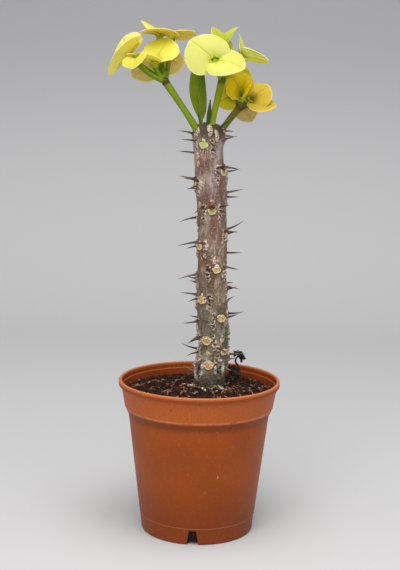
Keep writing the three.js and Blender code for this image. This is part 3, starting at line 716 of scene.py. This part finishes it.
draw = random.Random(5)
for n in range(SCAR_COUNT):
    relief += scar(n)
    if n > 0:
        relief += pit_row(n, -1) + pit_row(n, 1)
for flap in FOOT_FLAPS:
    side, up, far = oval(*flap)
    relief += 0.8 * step(far ** 2 - 1, 0.15) + 0.6 * bell((far - 0.85) / 0.2)
    arched = np.clip(1 + up / flap[3], 0.1, 1)
    mark("flap", bell((far - 0.74) / 0.34) * np.clip(0.9 + 1.6 * waver, 0, 1) * arched)
    for away, lift in FLAP_PITS:
        hollow = bell(np.hypot((side - away * flap[2]) / 1.1, (up - lift * flap[3]) / 1.8))
        relief -= 0.9 * hollow
        mark("hole", hollow)
for scab in PALE_FLAKES:
    ragged = oval(*scab)[2] + 1.6 * flake - 1
    relief += 0.25 * step(ragged, 0.2)
    mark("corky", 0.8 * step(ragged, 0.15))
for pad in CROWN_PADS:
    side, up, far = oval(*pad)
    relief += 0.8 * step(far ** 2 - 1, 0.2) - 0.4 * bell((far - 1.25) / 0.2)
    mark("corky", 0.9 * step(far ** 2 - 1, 0.2))
    relief += pit(side, up + 0.25 * pad[3], 0.9)

relief += 0.5 * grown_noise(12, 5) + 0.3 * waver + 0.2 * flake + 0.12 * grown_noise(0.6, 41)
crown = np.clip((heights - CROWN_FOOT) / (STEM[-1][0] - CROWN_FOOT), 0, 1)
buried = np.clip((STEM_BURIED + 6 - heights) / 6, 0, 1)
radius = (girth + relief * (1 - crown) * (1 - buried)) * np.sqrt(1 - crown ** 2)
radius[rings == 0] = 0
for vert, turn, out, centre, height in zip(stem.verts, np.radians(turns), radius, lean, heights):
    vert.co = (centre + out * sin(turn), -out * cos(turn), height)
for name, shares in marks.items():
    keep(stem, name, shares)
bmesh.ops.remove_doubles(stem, verts=stem.verts, dist=1e-4)

bark = Finish("bark")
level = bark.height()
broad = bark.patches(0.36, 0.64, 9, 3, 1.8)
bark.base(broad, (98, 68, 46), (138, 116, 98))
top_hue = bark.mix(broad, (108, 78, 66), (158, 138, 132))
zone = level + bark.noise(14) * 30
bark.coat(zone.band(205, 245), top_hue)
low_hue = bark.mix(broad, (92, 80, 58), (140, 130, 108))
bark.coat(zone.band(190, 150), low_hue)
bark.coat(bark.mask("moss") * bark.patches(0.38, 0.6, 4, 3) * 0.8, (88, 70, 34))
rust = level.band(135, 190) * bark.mask("rust") * bark.patches(0.3, 0.45, 5, 3)
bark.coat(rust, (120, 72, 40))
bark.coat(bark.patches(0.5, 0.62, 6) * level.band(170, 140) * 0.5, (112, 118, 98))
cracked = (bark.noise(8, 2, 2) + level.band(190, 230) * 0.12).band(0.54, 0.64)
fissure = bark.noise(1.1, 3, 5, 0.6)
bark.coat(cracked * fissure.band(0.5, 0.62) * 0.4, (196, 178, 162))
bark.coat(cracked * fissure.band(0.47, 0.36) * 0.45, (74, 52, 40))
ash = bark.patches(0.54, 0.68, 3.4, 4, 3, 0.6)
bark.coat(ash * 0.5, (192, 178, 170))
dusk = bark.patches(0.44, 0.32, 2, 4, 2, 0.6)
bark.coat(dusk * 0.6, (62, 48, 34))
bark.coat(bark.patches(0.6, 0.68, 0.7) * 0.45, (214, 204, 190))
pore = bark.patches(0.38, 0.3, 0.8, 2, 1.4)
bark.coat(pore * 0.5, (58, 44, 34))
bark.coat((level + bark.noise(3, 3) * 8).band(112, 100) * 0.85, (56, 48, 38))
bark.coat((level + bark.noise(3, 3) * 5).band(257, 262) * 0.9, (54, 50, 8))
flap_hue = bark.mix(bark.patches(0.35, 0.65, 1.3, 3), (168, 150, 136), (250, 242, 232))
bark.coat(bark.mask("flap").band(0.25, 0.7) * 0.92, flap_hue)
cork = bark.mix(bark.patches(0.35, 0.65, 1.4, 3), (150, 112, 92), (222, 206, 186))
bark.coat(bark.mask("corky").band(0.2, 0.8) * 0.9, cork)
pad_hue = bark.mix(bark.patches(0.36, 0.6, 1, 3), (164, 122, 74), (212, 184, 136))
pad_hue = bark.mix(level.band(196, 206), pad_hue, (150, 158, 84))
pad_hue = bark.mix(level.band(232, 242) * bark.patches(0.35, 0.5, 1), pad_hue, (190, 192, 116))
bark.coat(bark.mask("pad").band(0.3, 0.7), pad_hue)
rim_hue = bark.mix(level.band(236, 244), (230, 216, 180), (214, 220, 150))
bark.coat(bark.mask("rim").band(0.3, 0.8), rim_hue)
bud_hue = bark.mix(level.band(186, 196), (226, 210, 180), (86, 44, 22))
bud_hue = bark.mix(level.band(238, 246), bud_hue, (198, 206, 132))
bark.coat(bark.mask("knob").band(0.3, 0.7), bud_hue)
bark.coat(bark.mask("hole").band(0.3, 0.75) * 0.92, (56, 28, 20))
bark_relief = bark.bump(bark.noise(0.6, 4, 1.6, 0.65) + bark.noise(2, 3, 3) * 0.6, 0.25)
stem_bark = bark.done(0.5 + 0.25 * bark.noise(1.5, 3), bark_relief, shine=0.4)
piece("barked_stem", outward(stem), stem_bark, "bark", "stem", sharp=80)


# Spines. Hard hooked thorns, brown to nearly black, that grow out of the pits, the longest at the top of
# each row; the lower ones have weathered to tan.

SPINE_LENGTHS = [12, 7.5, 5.5]  # from the top of a row of pits down
SPINE_SHARES = [0.92, 0.5, 0.1]  # the share of the rows that have kept each
SPINE_SCATTER = 0.35
HOOK_SCATTER = 0.55
HOOK_DOWN = 0.5
ANGLE_SCATTER = 26
SPINE_ROOT = 1.6
SPINE_SEED = 1
PLACED_SPINES = [  # angle, height, length, hook, splay, rise
    (-35, 261.5, 10, 0, -8, 72), (62, 261.5, 8.5, -0.1, 0, 42), (-88, 258, 9, -0.3, 0, 28),
    (70, 254, 9.5, -0.2, 12, 30), (-80, 104.5, 9, 0.1, 0, 22), (60, 110, 6, 0, 0, -20),
]


def pick(seed):
    """A number from 0 to 1 that looks random and is the same for the same seed."""
    wave = sin(seed * 12.9898) * 43758.5453
    return wave - floor(wave)


def spine(angle, height, length, hook, splay, rise, sink):
    """One spine as the values that sweep takes: its path, its radius, its sides and its steps."""
    lean_here, girth_here = stem_section(height)
    turn = radians(angle)
    aside = Vector((cos(turn), sin(turn), 0))
    away = Vector((sin(turn), -cos(turn), 0))
    whole = length + SPINE_ROOT
    tilt = Matrix.Rotation(radians(splay), 3, "Y") @ Matrix.Rotation(-radians(rise), 3, "X")
    foot = Vector((lean_here, 0, height)) + away * (girth_here - sink)

    def path(t):
        local = tilt @ Vector((0, hook * whole * t * t, whole * t))
        return foot + aside * local.x + Vector((0, 0, local.y)) + away * local.z

    def radius(t):
        return 0.9 * (1 - t) ** 0.85 + 0.35 * exp(-((t * whole) / 1.9) ** 2) + 0.04

    return path, radius, 7, 8


def usual_spine(n, hand, i):
    """The spine of a pit, the i-th from the top of a row, or nothing where it has dropped."""
    seed = SPINE_SEED + (2 * n + hand + 2) * 7 + i * 3
    if pick(seed + 1.5) > SPINE_SHARES[i]:
        return []
    length = SPINE_LENGTHS[i] * (1 + SPINE_SCATTER * (pick(seed) - 0.5))
    hook = HOOK_SCATTER * (pick(seed + 1) - HOOK_DOWN)
    splay = ANGLE_SCATTER * (pick(seed + 2) - 0.5)
    rise = ANGLE_SCATTER * (pick(seed + 0.5) - 0.5)
    at = scar_height(n) - SHIELD_DROP + PIT_TOP - PIT_PITCH * i
    angle = scar_angle(n) + hand * SHIELD_ANGLE
    return [spine(angle, at, length, hook, splay, rise, SPINE_ROOT - SHIELD_PROUD / 2)]


grown = [
    one for n in range(SCAR_COUNT) for hand in (-1, 1) for i in range(len(SPINE_LENGTHS))
    for one in usual_spine(n, hand, i)
]
grown += [spine(*values, SPINE_ROOT) for values in PLACED_SPINES]

thorn = Finish("thorn")
thorn.base(thorn.patches(0.4, 0.62, 5, 1), (50, 38, 34), (104, 82, 70))
thorn.coat(thorn.height().band(122, 106) * 0.5, (166, 138, 116))
piece("spines", tubes(grown), thorn.done(0.45, shine=0.45), "bark")


# Leaves. One grown leaf and two that are just unfolding, each a thin green blade on a short stalk,
# rising from the crown of the stem.

LEAF_PATH = [(-1.2, -4.4, 263.5), (-2.4, -4.8, 273), (-4.4, -4.6, 286), (-4.6, -2.2, 303), (-4.2, -0.6, 311)]
LEAF_HALF_WIDTH = 6
YOUNG_LEAF_PATHS = [
    [(1.8, -7, 262.6), (2.9, -7.2, 271), (3.6, -6.4, 280)],
    [(6.2, 0.4, 262.6), (6.4, 0.8, 270), (8.1, 0.6, 278.6)],
]
YOUNG_HALF_WIDTH = 1.5
LEAF_BELLY = 0.85  # under 1, a leaf is widest nearer its foot
PETIOLE_SHARE = 0.08  # of a leaf's length
LEAF_THICKNESS = 0.5


def blade(surface, columns, rows, thickness):
    """A thin closed blade about surface(u, v), u and v from 0 to 1, which it keeps as attributes."""
    bm = net(columns, rows)
    keep(bm, "along", [(vert.co.x + 1) / 2 for vert in bm.verts])
    keep(bm, "aside", [vert.co.y for vert in bm.verts])
    for vert in bm.verts:
        vert.co = surface((vert.co.x + 1) / 2, (vert.co.y + 1) / 2)
    bmesh.ops.solidify(bm, geom=bm.faces[:], thickness=thickness)
    return bm


def leaf_surface(points, half_width):
    path = smooth_path(points)

    def surface(u, v):
        side = 2 * v - 1
        on_blade = max(0, u - PETIOLE_SHARE) / (1 - PETIOLE_SHARE)
        swell = max(0, sin(pi * on_blade ** LEAF_BELLY)) ** 0.8 * (1 - 0.25 * u)
        half = max(half_width * swell, 1 - 0.6 * u)
        point = path(u)
        point.x += side * half
        point.y += 0.35 * half * abs(side) - 0.25 * side * half - 0.25 * exp(-(side * half / 0.5) ** 2)
        return point

    return surface


leafy = Finish("leaf")
along, aside = leafy.mask("along"), leafy.mask("aside")
mid = abs(aside)
veins = ((along * 6 - mid) * 14).wave()
leafy.base(leafy.noise(6, 3), (88, 104, 2), (112, 126, 16))
# Painted shade, deepening towards the blade's right side.
leafy.coat(aside.band(-0.3, 0.7) * 0.6, (70, 92, 4))
leafy.coat(veins.band(0.7, 1) * 0.12, (132, 150, 50))
leafy.coat(mid.band(0.08, 0.02) * 0.3, (132, 150, 50))
leafy.coat(along.band(0.16, 0.03), (150, 170, 80))
leaf_relief = leafy.bump(mid.band(0.14, 0.02) + veins * 0.15, 0.25)
leaf_green = leafy.done(0.48, leaf_relief, shine=0.2, glow=0.15, depth=(0.4, 1, 0.15))
grown_leaf = blade(leaf_surface(LEAF_PATH, LEAF_HALF_WIDTH), 60, 18, LEAF_THICKNESS)
piece("grown_leaf", grown_leaf, leaf_green, "leaf", "leaf", sharp=60)

sprouting = Finish("young_leaf")
sprouting.base(sprouting.noise(2), (30, 50, 14), (58, 84, 26))
young_green = sprouting.done(0.45)
for count, points in enumerate(YOUNG_LEAF_PATHS, 1):
    bm = blade(leaf_surface(points, YOUNG_HALF_WIDTH), 30, 8, LEAF_THICKNESS)
    piece(f"unfolding_leaf_{count}", bm, young_green, "young_leaf", f"young_leaf_{count}", sharp=60)


# Blooms. Each is two thin broad bracts, yellow and a little see-through, joined below the small green
# cup that holds the true flowers; the youngest are still folded and lime green.

BRACT_ROOT_RADIUS = 1.3
BRACT_THICKNESS = 0.42
FUNNEL = 3.4
FUNNEL_REACH = 4.6
BRACT_SPAN = 98
# Each bloom: where it sits, the way it faces, and its bracts. Each bract: the way its rib points, the way
# its face looks, its length, and what else shapes it.
LEFT_BLOOMS = {
    "outer": ((-47.2, 8, 305.8), (-0.74, -0.1, 0.66), [
        ((-0.5, -0.85, 0), (-0.66, 0.38, 0.65), 18, {"width": 1.15}),
        ((-0.29, 0.71, 0.63), (-0.63, -0.64, 0.42), 18.5, {"width": 0.95}),
    ]),
    "near": ((-41.8, -11, 305.2), (-0.12, -0.2, 0.95), [
        ((-0.08, -0.72, -0.64), (-0.45, -0.55, 0.65), 11.5, {"width": 1, "funnel": 4.5}),
        ((-0.5, 0.85, -0.1), (0, 0.1, 1), 8, {}),
    ]),
    "inner": ((-31.2, -2, 301), (-0.15, -0.3, 0.94), [
        ((0.38, 0.43, 0.82), (-0.25, -0.8, 0.54), 20, {"width": 0.88, "span": 66}),
        ((-0.78, -0.4, 0.44), (0.3, 0.35, 0.85), 9.5, {"funnel": 4.5}),
    ]),
    "top": ((-29.2, 11.5, 318.4), (0, 0, 1), [
        ((0.05, -0.95, 0.3), (0.05, 0.3, 1), 16.5, {"width": 1, "curl": 0.22}),
        ((-0.68, 0.4, 0.56), (0.5, -0.2, 0.85), 15, {"width": 0.6, "tip": 2.5}),
    ]),
    "back": ((-31.4, 22, 304), (0, 0.9, 0.3), [
        ((-0.82, 0.1, -0.52), (0, 0.9, 0.1), 18, {"width": 0.7}),
        ((0.98, 0.2, -0.02), (0, 0.9, 0.1), 18, {"width": 0.65}),
    ]),
    "side": ((-21.5, 23.5, 319.4), (0.1, 0.3, 0.9), [
        ((0.9, 0.35, 0.1), (0, 0.28, 0.95), 15.5, {"curl": 0.2}),
        ((-0.6, 0.75, 0.1), (0, 0.3, 0.9), 13, {}),
    ]),
}
MIDDLE_BLOOMS = {
    "open": ((6, -14, 302.5), (0.05, -0.8, 0.6), [
        ((-0.72, 0.2, 0.64), (0.1, -0.9, 0.4), 20.5, {"width": 0.95, "span": 108}),
        ((0.84, -0.46, -0.14), (0.28, -0.7, 0.62), 19.5, {"curl": 0.24, "funnel": 4.6}),
    ]),
    "young_left": ((12.6, 2, 310), (0.1, 0.1, 1), [
        ((-0.5, 0.1, 0.82), (0.5, -0.6, 0.3), 16.5, {"width": 0.55}),
        ((0.42, 0.1, 0.85), (-0.7, -0.5, 0.5), 15, {"width": 0.5, "fold": 0.5, "tip": 2}),
    ]),
    "young_right": ((20.8, 6, 307.2), (0.3, 0.1, 0.9), [
        ((-0.06, 0.3, 0.95), (0.9, -0.3, 0.3), 13.5, {"width": 0.6, "fold": 0.3, "tip": 2}),
        ((0.96, 0, -0.12), (0.2, 0.7, 0.6), 13.5, {"width": 0.5, "fold": 0.3, "tip": 6}),
    ]),
}
RIGHT_BLOOMS = {
    "near": ((23.4, 9, 280.6), (0.05, -0.35, 0.93), [
        ((-0.44, -0.1, 0.9), (0.5, -0.8, 0.2), 17.5, {"span": 72, "fold": 0.3}),
        ((0.5, -0.25, 0.8), (-0.6, -0.5, 0.6), 12.5, {"span": 72, "fold": 0.2}),
    ]),
    "outer": ((29, 15.6, 278.4), (0.5, -0.3, 0.8), [
        ((0.7, 0.3, 0.62), (-0.3, -0.75, 0.6), 16.5, {}),
        ((0.97, -0.1, -0.14), (0.05, -0.45, 0.9), 16.5, {}),
    ]),
    "low": ((25.4, 26.4, 277.6), (0, 0.9, -0.1), [
        ((0.45, 0.1, -0.85), (0, 0.9, 0), 12, {}),
        ((0.2, 0.6, 0.6), (0, 0.8, -0.5), 12, {}),
    ]),
    "back": ((19, 24, 284), (-0.3, 0.85, 0.35), [
        ((0.42, 0.1, 0.88), (0, 0.95, -0.1), 18, {"width": 0.7}),
        ((-0.8, 0.1, -0.4), (0, 0.95, 0.1), 13, {}),
    ]),
}


def bract_surface(
        at, rib, up, length, width=0.9, fold=0, tip=0.8, curl=0.16, span=BRACT_SPAN, funnel=FUNNEL):
    """The surface of a kidney-shaped bract: u runs from its root to its edge, v from lobe to lobe."""
    along = Vector(rib).normalized()
    above = (Vector(up) - along * Vector(up).dot(along)).normalized()
    across = above.cross(along)
    widest = radians(span)
    point_width = 0.14 + 0.08 * tip
    phase = 7 * pick(length + at[0])

    def surface(u, v):
        angle = (2 * v - 1) * widest
        outermost = min(max((abs(angle) / widest - 0.72) / 0.38, 0), 1)
        outermost = outermost * outermost * (3 - 2 * outermost)
        reach = length * cos(angle / 2) * (1 - 0.3 * outermost)
        reach += tip * exp(-(angle / point_width) ** 2)
        radius = BRACT_ROOT_RADIUS + u * (reach - BRACT_ROOT_RADIUS)
        x = radius * cos(angle)
        y = radius * sin(angle) * (1 + (width - 1) * u)
        rise = funnel * (1 - exp(-radius / FUNNEL_REACH)) - curl * radius * radius / length
        ripple = 0.45 * u ** 3 * sin(3.1 * angle + phase) * min(1, length / 15)
        groove = -0.35 * exp(-(y / 0.7) ** 2) * sin(pi * min(1, u * 1.02))
        return Vector(at) + along * x + across * y + above * (rise + fold * abs(y) + ripple + groove)

    return surface


def bract_finish(
        name, face, deep, throat, edge, glow, throat_reach=0.5, rib_show=0.12, rib_end=0, shine=0.35):
    """Thin bract: a paler edge, a greener throat, a fine midrib and faint veins that fan out."""
    petal = Finish(name)
    along, aside = petal.mask("along"), petal.mask("aside")
    mid = abs(aside)
    fan = (aside * 70 + petal.noise(4) * 5).wave()
    rib = (mid * along).band(0.022, 0.008) * along.band(0.2, 0.6)
    petal.base(petal.noise(7), face, deep)
    petal.coat(fan.band(0.4, 1) * along.band(0.95, 0.4) * 0.12, deep)
    petal.coat((along + petal.noise(3) * 0.15).band(throat_reach, 0.12), throat)
    petal.coat(rib * (along.band(0.5, 0.95) * rib_end + rib_show), throat)
    petal.coat(along.band(0.95, 0.995) * 0.7, edge)
    relief = petal.bump(mid.band(0.03, 0) * -1 + fan * 0.04 + petal.noise(1.5, 3) * 0.3, 0.18)
    return petal.done(0.5, relief, shine, glow, depth=(1.68, 1.4, 0.42))


yellow = bract_finish(
    "yellow_bract", (204, 200, 98), (196, 190, 80), (178, 180, 8), (236, 230, 166), 0.7,
    throat_reach=0.4, rib_show=0.15, rib_end=0.7)
warm_yellow = bract_finish(
    "warm_bract", (240, 224, 80), (228, 206, 62), (176, 168, 26), (248, 238, 150), 0.75)
pale_yellow = bract_finish(
    "pale_bract", (250, 228, 124), (246, 216, 100), (206, 188, 56), (252, 244, 190), 0.8)
muted_yellow = bract_finish(
    "muted_bract", (224, 204, 84), (206, 184, 60), (150, 144, 34), (238, 226, 148), 0.7, shine=0.15)
lime = bract_finish(
    "young_bract", (178, 182, 40), (158, 168, 20), (128, 150, 10), (226, 228, 150), 0.6, rib_show=0.6)
pale_lime = bract_finish(
    "pale_young_bract", (216, 218, 104), (202, 204, 84), (150, 160, 40), (250, 246, 214), 0.45,
    rib_show=0.25)
tan_yellow = bract_finish(
    "tan_bract", (230, 200, 92), (208, 176, 66), (140, 136, 30), (236, 218, 140), 0.2, shine=0.15)
# In the two gold finishes the dark olive throat is partly the bracts' green base and partly painted shade
# inside the funnel.
gold = bract_finish(
    "gold_bract", (214, 182, 14), (192, 158, 4), (100, 94, 2), (226, 204, 84), 0.5,
    throat_reach=0.72, rib_show=0.15, shine=0.12)
dull_gold = bract_finish(
    "dull_gold_bract", (198, 170, 50), (178, 148, 34), (112, 100, 6), (230, 212, 124), 0.5,
    throat_reach=0.6, rib_show=0.15, shine=0.15)


CLUSTERS = [
    ("left", LEFT_BLOOMS, warm_yellow, "pale_bract"),
    ("middle", MIDDLE_BLOOMS, yellow, "pale_bract"),
    ("right", RIGHT_BLOOMS, gold, "gold_bract"),
]
OWN_SHADE = {
    "left_outer": pale_yellow, "left_near": muted_yellow, "left_top": muted_yellow,
    "left_side": muted_yellow, "left_back": tan_yellow, "middle_young_left": lime,
    "middle_young_right": pale_lime, "right_outer": dull_gold, "right_low": tan_yellow,
}
for cluster, blooms, finish, slot in CLUSTERS:
    for key, (at, facing, bracts) in blooms.items():
        bloom = f"{cluster}_{key}"
        pair = gather(
            blade(bract_surface(at, *shape, **form), 22, 56, BRACT_THICKNESS) for *shape, form in bracts)
        own_slot = "young_bract" if key.startswith("young") else slot
        piece(f"bracts_{bloom}", pair, OWN_SHADE.get(bloom, finish), own_slot, f"bloom_{bloom}", sharp=60)


# Cups. The green cup in the middle of each bloom, fleshy, with five rounded glands round its rim and a
# tuft of tiny flowers inside.

CUP_PROFILE = [(0, -1.3), (1.9, -1.3), (2.2, 0), (2.6, 1.4), (2.7, 2), (2.3, 2.1), (1.8, 1.4), (0, 1)]
GLAND_COUNT = 5
FLOWER_COUNT = 9
OPEN_CUP = 1.3  # how much larger the cup of the widest bloom is


def cup(at, facing, size):
    bm = turned(CUP_PROFILE, 30)
    keep(bm, "hollow", [vert.co.z > 0.9 and vert.co.xy.length < 2.2 for vert in bm.verts])
    for count in range(GLAND_COUNT):
        turn = tau * count / GLAND_COUNT
        spot = Matrix.Translation((2.25 * cos(turn), 2.25 * sin(turn), 2.05))
        shape = spot @ Matrix.Rotation(turn, 4, "Z") @ Matrix.Diagonal((0.6, 1.05, 0.4, 1))
        bmesh.ops.create_uvsphere(bm, u_segments=14, v_segments=8, radius=1, matrix=shape)
    for count in range(FLOWER_COUNT):
        turn = 2.4 * count
        reach = 0.38 * sqrt(count)
        spot = Matrix.Translation((reach * cos(turn), reach * sin(turn), 1.7 - 0.25 * reach))
        bmesh.ops.create_icosphere(bm, subdivisions=2, radius=0.36, matrix=spot)
    turn = Vector((0, 0, 1)).rotation_difference(Vector(facing).normalized()).to_matrix().to_4x4()
    placed = Matrix.Translation(at) @ turn @ Matrix.Scale(size, 4)
    bmesh.ops.transform(bm, matrix=placed, verts=bm.verts)
    return bm


flesh = Finish("cup_green")
flesh.base(flesh.noise(1.2), (124, 144, 6), (206, 212, 20))
# Painted shade in the cup's hollow.
flesh.coat(flesh.mask("hollow").band(0.2, 0.8), (70, 84, 0))
cup_green = flesh.done(0.4, flesh.bump(flesh.noise(0.5), 0.12), 0.2, glow=0.3, depth=(0.5, 1, 0.2))
for cluster, blooms, finish, slot in CLUSTERS:
    for key, (at, facing, bracts) in blooms.items():
        size = OPEN_CUP if key == "open" else 1
        piece(f"cup_{cluster}_{key}", cup(at, facing, size), cup_green, "stalk")


# Stalks. Smooth juicy green stalks that rise from the crown, each forking at a small knot into one thin
# stalk for each bloom. The scales at the fork are only a patch of their colour.

STALK_RADIUS = 2.25
KNOT_RADIUS = 2.6
CUP_FOOT = 1.1  # how far below the middle of a bloom its stalk ends
BROWN_SCALES = (70, 44, 20)
GREEN_SCALES = (84, 102, 8)
STALKS = [  # side, path up to the fork, blooms, lit and shaded green, scales and slot
    ("left", [(-2.8, -4.6, 258), (-6.6, -4.4, 264.6), (-14, -2.6, 275.5), (-24.6, 0, 290.4)],
     LEFT_BLOOMS, (128, 150, 8), (92, 116, 2), BROWN_SCALES, "stalk"),
    ("middle", [(4.4, -3.6, 256), (5, -3.2, 266), (8, -3.2, 280), (10.6, -3.8, 292)],
     MIDDLE_BLOOMS, (158, 174, 14), (118, 136, 6), GREEN_SCALES, "stalk"),
    ("right", [(7.2, 4.6, 254.5), (11.4, 6.4, 261), (17, 11, 268.6), (22.4, 15.6, 275)],
     RIGHT_BLOOMS, (120, 122, 16), (92, 84, 18), BROWN_SCALES, "olive_stalk"),
]


def forked_stalk(points, blooms):
    fork = Vector(points[-1])
    grown = [(smooth_path(points), lambda t: STALK_RADIUS * (1 + 0.08 * cos(6 * t)), 24, 40)]
    for at, facing, bracts in blooms.values():
        towards = Vector(facing).normalized()
        end = Vector(at) - towards * CUP_FOOT
        bend = end - towards * (end - fork).length / 3

        def path(t, end=end, bend=bend):
            return fork * (1 - t) ** 2 + bend * 2 * t * (1 - t) + end * t * t

        grown.append((path, lambda t: 1.5 + 0.6 * t ** 3, 20, 24))
    whole = tubes(grown)
    bmesh.ops.create_uvsphere(
        whole, u_segments=20, v_segments=12, radius=KNOT_RADIUS, matrix=Matrix.Translation(fork))
    return whole


def stalk_finish(name, lit, shadow, scales, fork):
    green = Finish(name)
    green.base(green.noise(5, 3, 2), lit, shadow)
    green.coat(green.patches(0.5, 0.75, 0.7, 2, 12) * 0.25, (160, 184, 80))
    green.coat((green.distance(fork) + green.noise(1.5) * 2).band(4.8, 3.4), scales)
    relief = green.bump(green.noise(0.8, 2, 6), 0.08)
    return green.done(0.45, relief, 0.22, glow=0.15, depth=(0.75, 1.5, 0.225))


for side, points, blooms, lit, shadow, scales, slot in STALKS:
    finish = stalk_finish(f"stalk_green_{side}", lit, shadow, scales, points[-1])
    made = piece(f"forked_stalk_{side}", forked_stalk(points, blooms), finish, slot, f"stalk_{side}")
    weld = made.modifiers.new("weld", "REMESH")
    weld.mode = "VOXEL"
    weld.voxel_size = 0.00035
    weld.use_smooth_shade = True
    ease = made.modifiers.new("ease", "SMOOTH")
    ease.factor = 0.5
    ease.iterations = 6
    settle(made)


# Withered flower. An old bloom on a thin stalk of its own in the peat, dried dark brown and curled up.

DRY_THICKNESS = 0.35
CREASE = 2.2
CREASE_FINENESS = 0.9
WITHERED_STALK = [(25, 10, 90.4), (25.2, 10, 98), (26.2, 10, 105), (23.6, 10.6, 110), (26.8, 11.6, 115.4)]
CURLED_BRACTS = [  # where each is rooted, the way it points, the way its face looks, and its length
    ((26.2, 11.6, 116), (0.5, -0.3, -1), (0.8, -0.4, 0.3), 6),
    ((26.4, 11.8, 116), (0.9, 0.2, -0.8), (0.7, 0.3, 0.7), 5.2),
    ((26.2, 11.8, 115.6), (-0.1, 0.4, -1), (-0.2, 0.8, 0.4), 3),
    ((26, 11.6, 116.2), (-0.8, -0.2, -0.5), (-0.4, -0.5, 0.8), 4),
    ((24.6, 10.6, 101), (-1, -0.3, -0.1), (-0.3, -0.4, 0.8), 8),
    ((24.6, 10.4, 99), (-0.8, -0.4, 0.8), (-0.6, -0.6, -0.4), 8.6),
    ((24.8, 10.6, 103), (0.3, -0.4, -1), (0.6, -0.7, -0.2), 7.4),
    ((24.4, 11, 102), (-0.7, 0.3, -0.8), (-0.6, 0.5, 0.3), 7.4),
    ((25, 10.8, 101), (-0.3, 0.2, 0.9), (0.5, -0.6, 0), 6),
]
dried = tubes([(smooth_path(WITHERED_STALK), lambda t: 1 - 0.5 * t, 10, 30)])
draw = random.Random(3)
pebble(dried, Vector((23.8, 11, 99.6)), (1.6, 1.4, 3), draw, 0.9, detail=3)
pebble(dried, Vector((27.4, 11.8, 114)), (1, 1, 2.2), draw, 0.6, detail=3)


def crumpled(surface):
    """The surface of a bract, creased more and more from its root to its edge."""
    def dry_surface(u, v):
        place = surface(u, v)
        crease = [noise.noise(place * CREASE_FINENESS + Vector((7 * axis, 0, 0))) for axis in range(3)]
        return place + Vector(crease) * CREASE * u

    return dry_surface


curled = [
    blade(crumpled(bract_surface(*shape, width=0.55, curl=0.5, funnel=1.6)), 14, 22, DRY_THICKNESS)
    for shape in CURLED_BRACTS
]
crisp = Finish("withered")
crisp.base(crisp.noise(1.5, 3), (24, 15, 11), (74, 48, 34))
dry_brown = crisp.done(0.75, crisp.bump(crisp.noise(0.6, 3), 0.3))
withered = outward(gather([dried, *curled]))
piece("dried_bloom", withered, dry_brown, "withered", "withered_flower", sharp=70)


# Studio. A pale seamless sheet that runs down a wall and out over a table, large soft lights over and in
# front of it, and the camera at the photograph's place.

SHEET_LENGTH = 5
SHEET_FRONT = -2
FLOOR_HALF = 1.6
WALL_AT = 0.62  # how far behind the part the sheet turns up
WALL_TURN = 0.35  # radius of that turn
WALL_ARC = WALL_TURN * pi / 2
sheet = net(8, 120)
for vert in sheet.verts:
    past = (vert.co.y + 1) / 2 * SHEET_LENGTH + SHEET_FRONT - WALL_AT
    turn = min(max(past, 0), WALL_ARC) / WALL_TURN
    back = WALL_AT + min(past, 0) + WALL_TURN * sin(turn)
    up = WALL_TURN * (1 - cos(turn)) + max(past - WALL_ARC, 0)
    vert.co = (vert.co.x * FLOOR_HALF, back, up)
for face in sheet.faces:
    face.smooth = True
card = Finish("pale_card")
# Painted shade: the sheet darkens from the table up the wall.
card.base(card.height().band(40, 460), (203, 202, 202), (172, 172, 174))
backdrop = stand("paper_sheet", mesh_of("paper_sheet", sheet))
backdrop.data.materials.append(card.done(0.9, shine=0.2))


def soft_light(name, at, aim, size, power):
    lamp = bpy.data.lights.new(name, "AREA")
    lamp.shape = "RECTANGLE"
    lamp.size, lamp.size_y = size
    lamp.energy = power
    made = stand(name, lamp)
    made.location = at
    made.rotation_euler = (Vector(aim) - Vector(at)).to_track_quat("-Z", "Y").to_euler()


soft_light("over", (0.05, -0.38, 1.22), (0, 0, 0.1), (1.2, 1.0), 15.5)
soft_light("front", (-0.35, -1.3, 0.95), (0, 0, 0.18), (1.0, 0.9), 7.5)
room = bpy.data.worlds.new("room")
room.use_nodes = True
room.node_tree.nodes["Background"].inputs["Color"].default_value = (0.9, 0.91, 0.94, 1)
room.node_tree.nodes["Background"].inputs["Strength"].default_value = 0.39
bpy.context.scene.world = room
bpy.context.scene.view_settings.view_transform = "Standard"

CAMERA_AT = (-0.0007, -0.760, 0.2847)
CAMERA_PITCH = 9.18
CAMERA_ROLL = 1.06
CAMERA_VIEW = 26.84  # degrees from the bottom of the picture to its top
camera_data = bpy.data.cameras.new("camera")
camera_data.sensor_fit = "VERTICAL"
camera_data.sensor_height = 24
camera_data.lens = 12 / tan(radians(CAMERA_VIEW / 2))
camera = stand("camera", camera_data)
tilt = Matrix.Rotation(radians(90 - CAMERA_PITCH), 4, "X")
roll = Matrix.Rotation(radians(CAMERA_ROLL), 4, "Z")
camera.matrix_world = Matrix.Translation(CAMERA_AT) @ tilt @ roll
bpy.context.scene.camera = camera
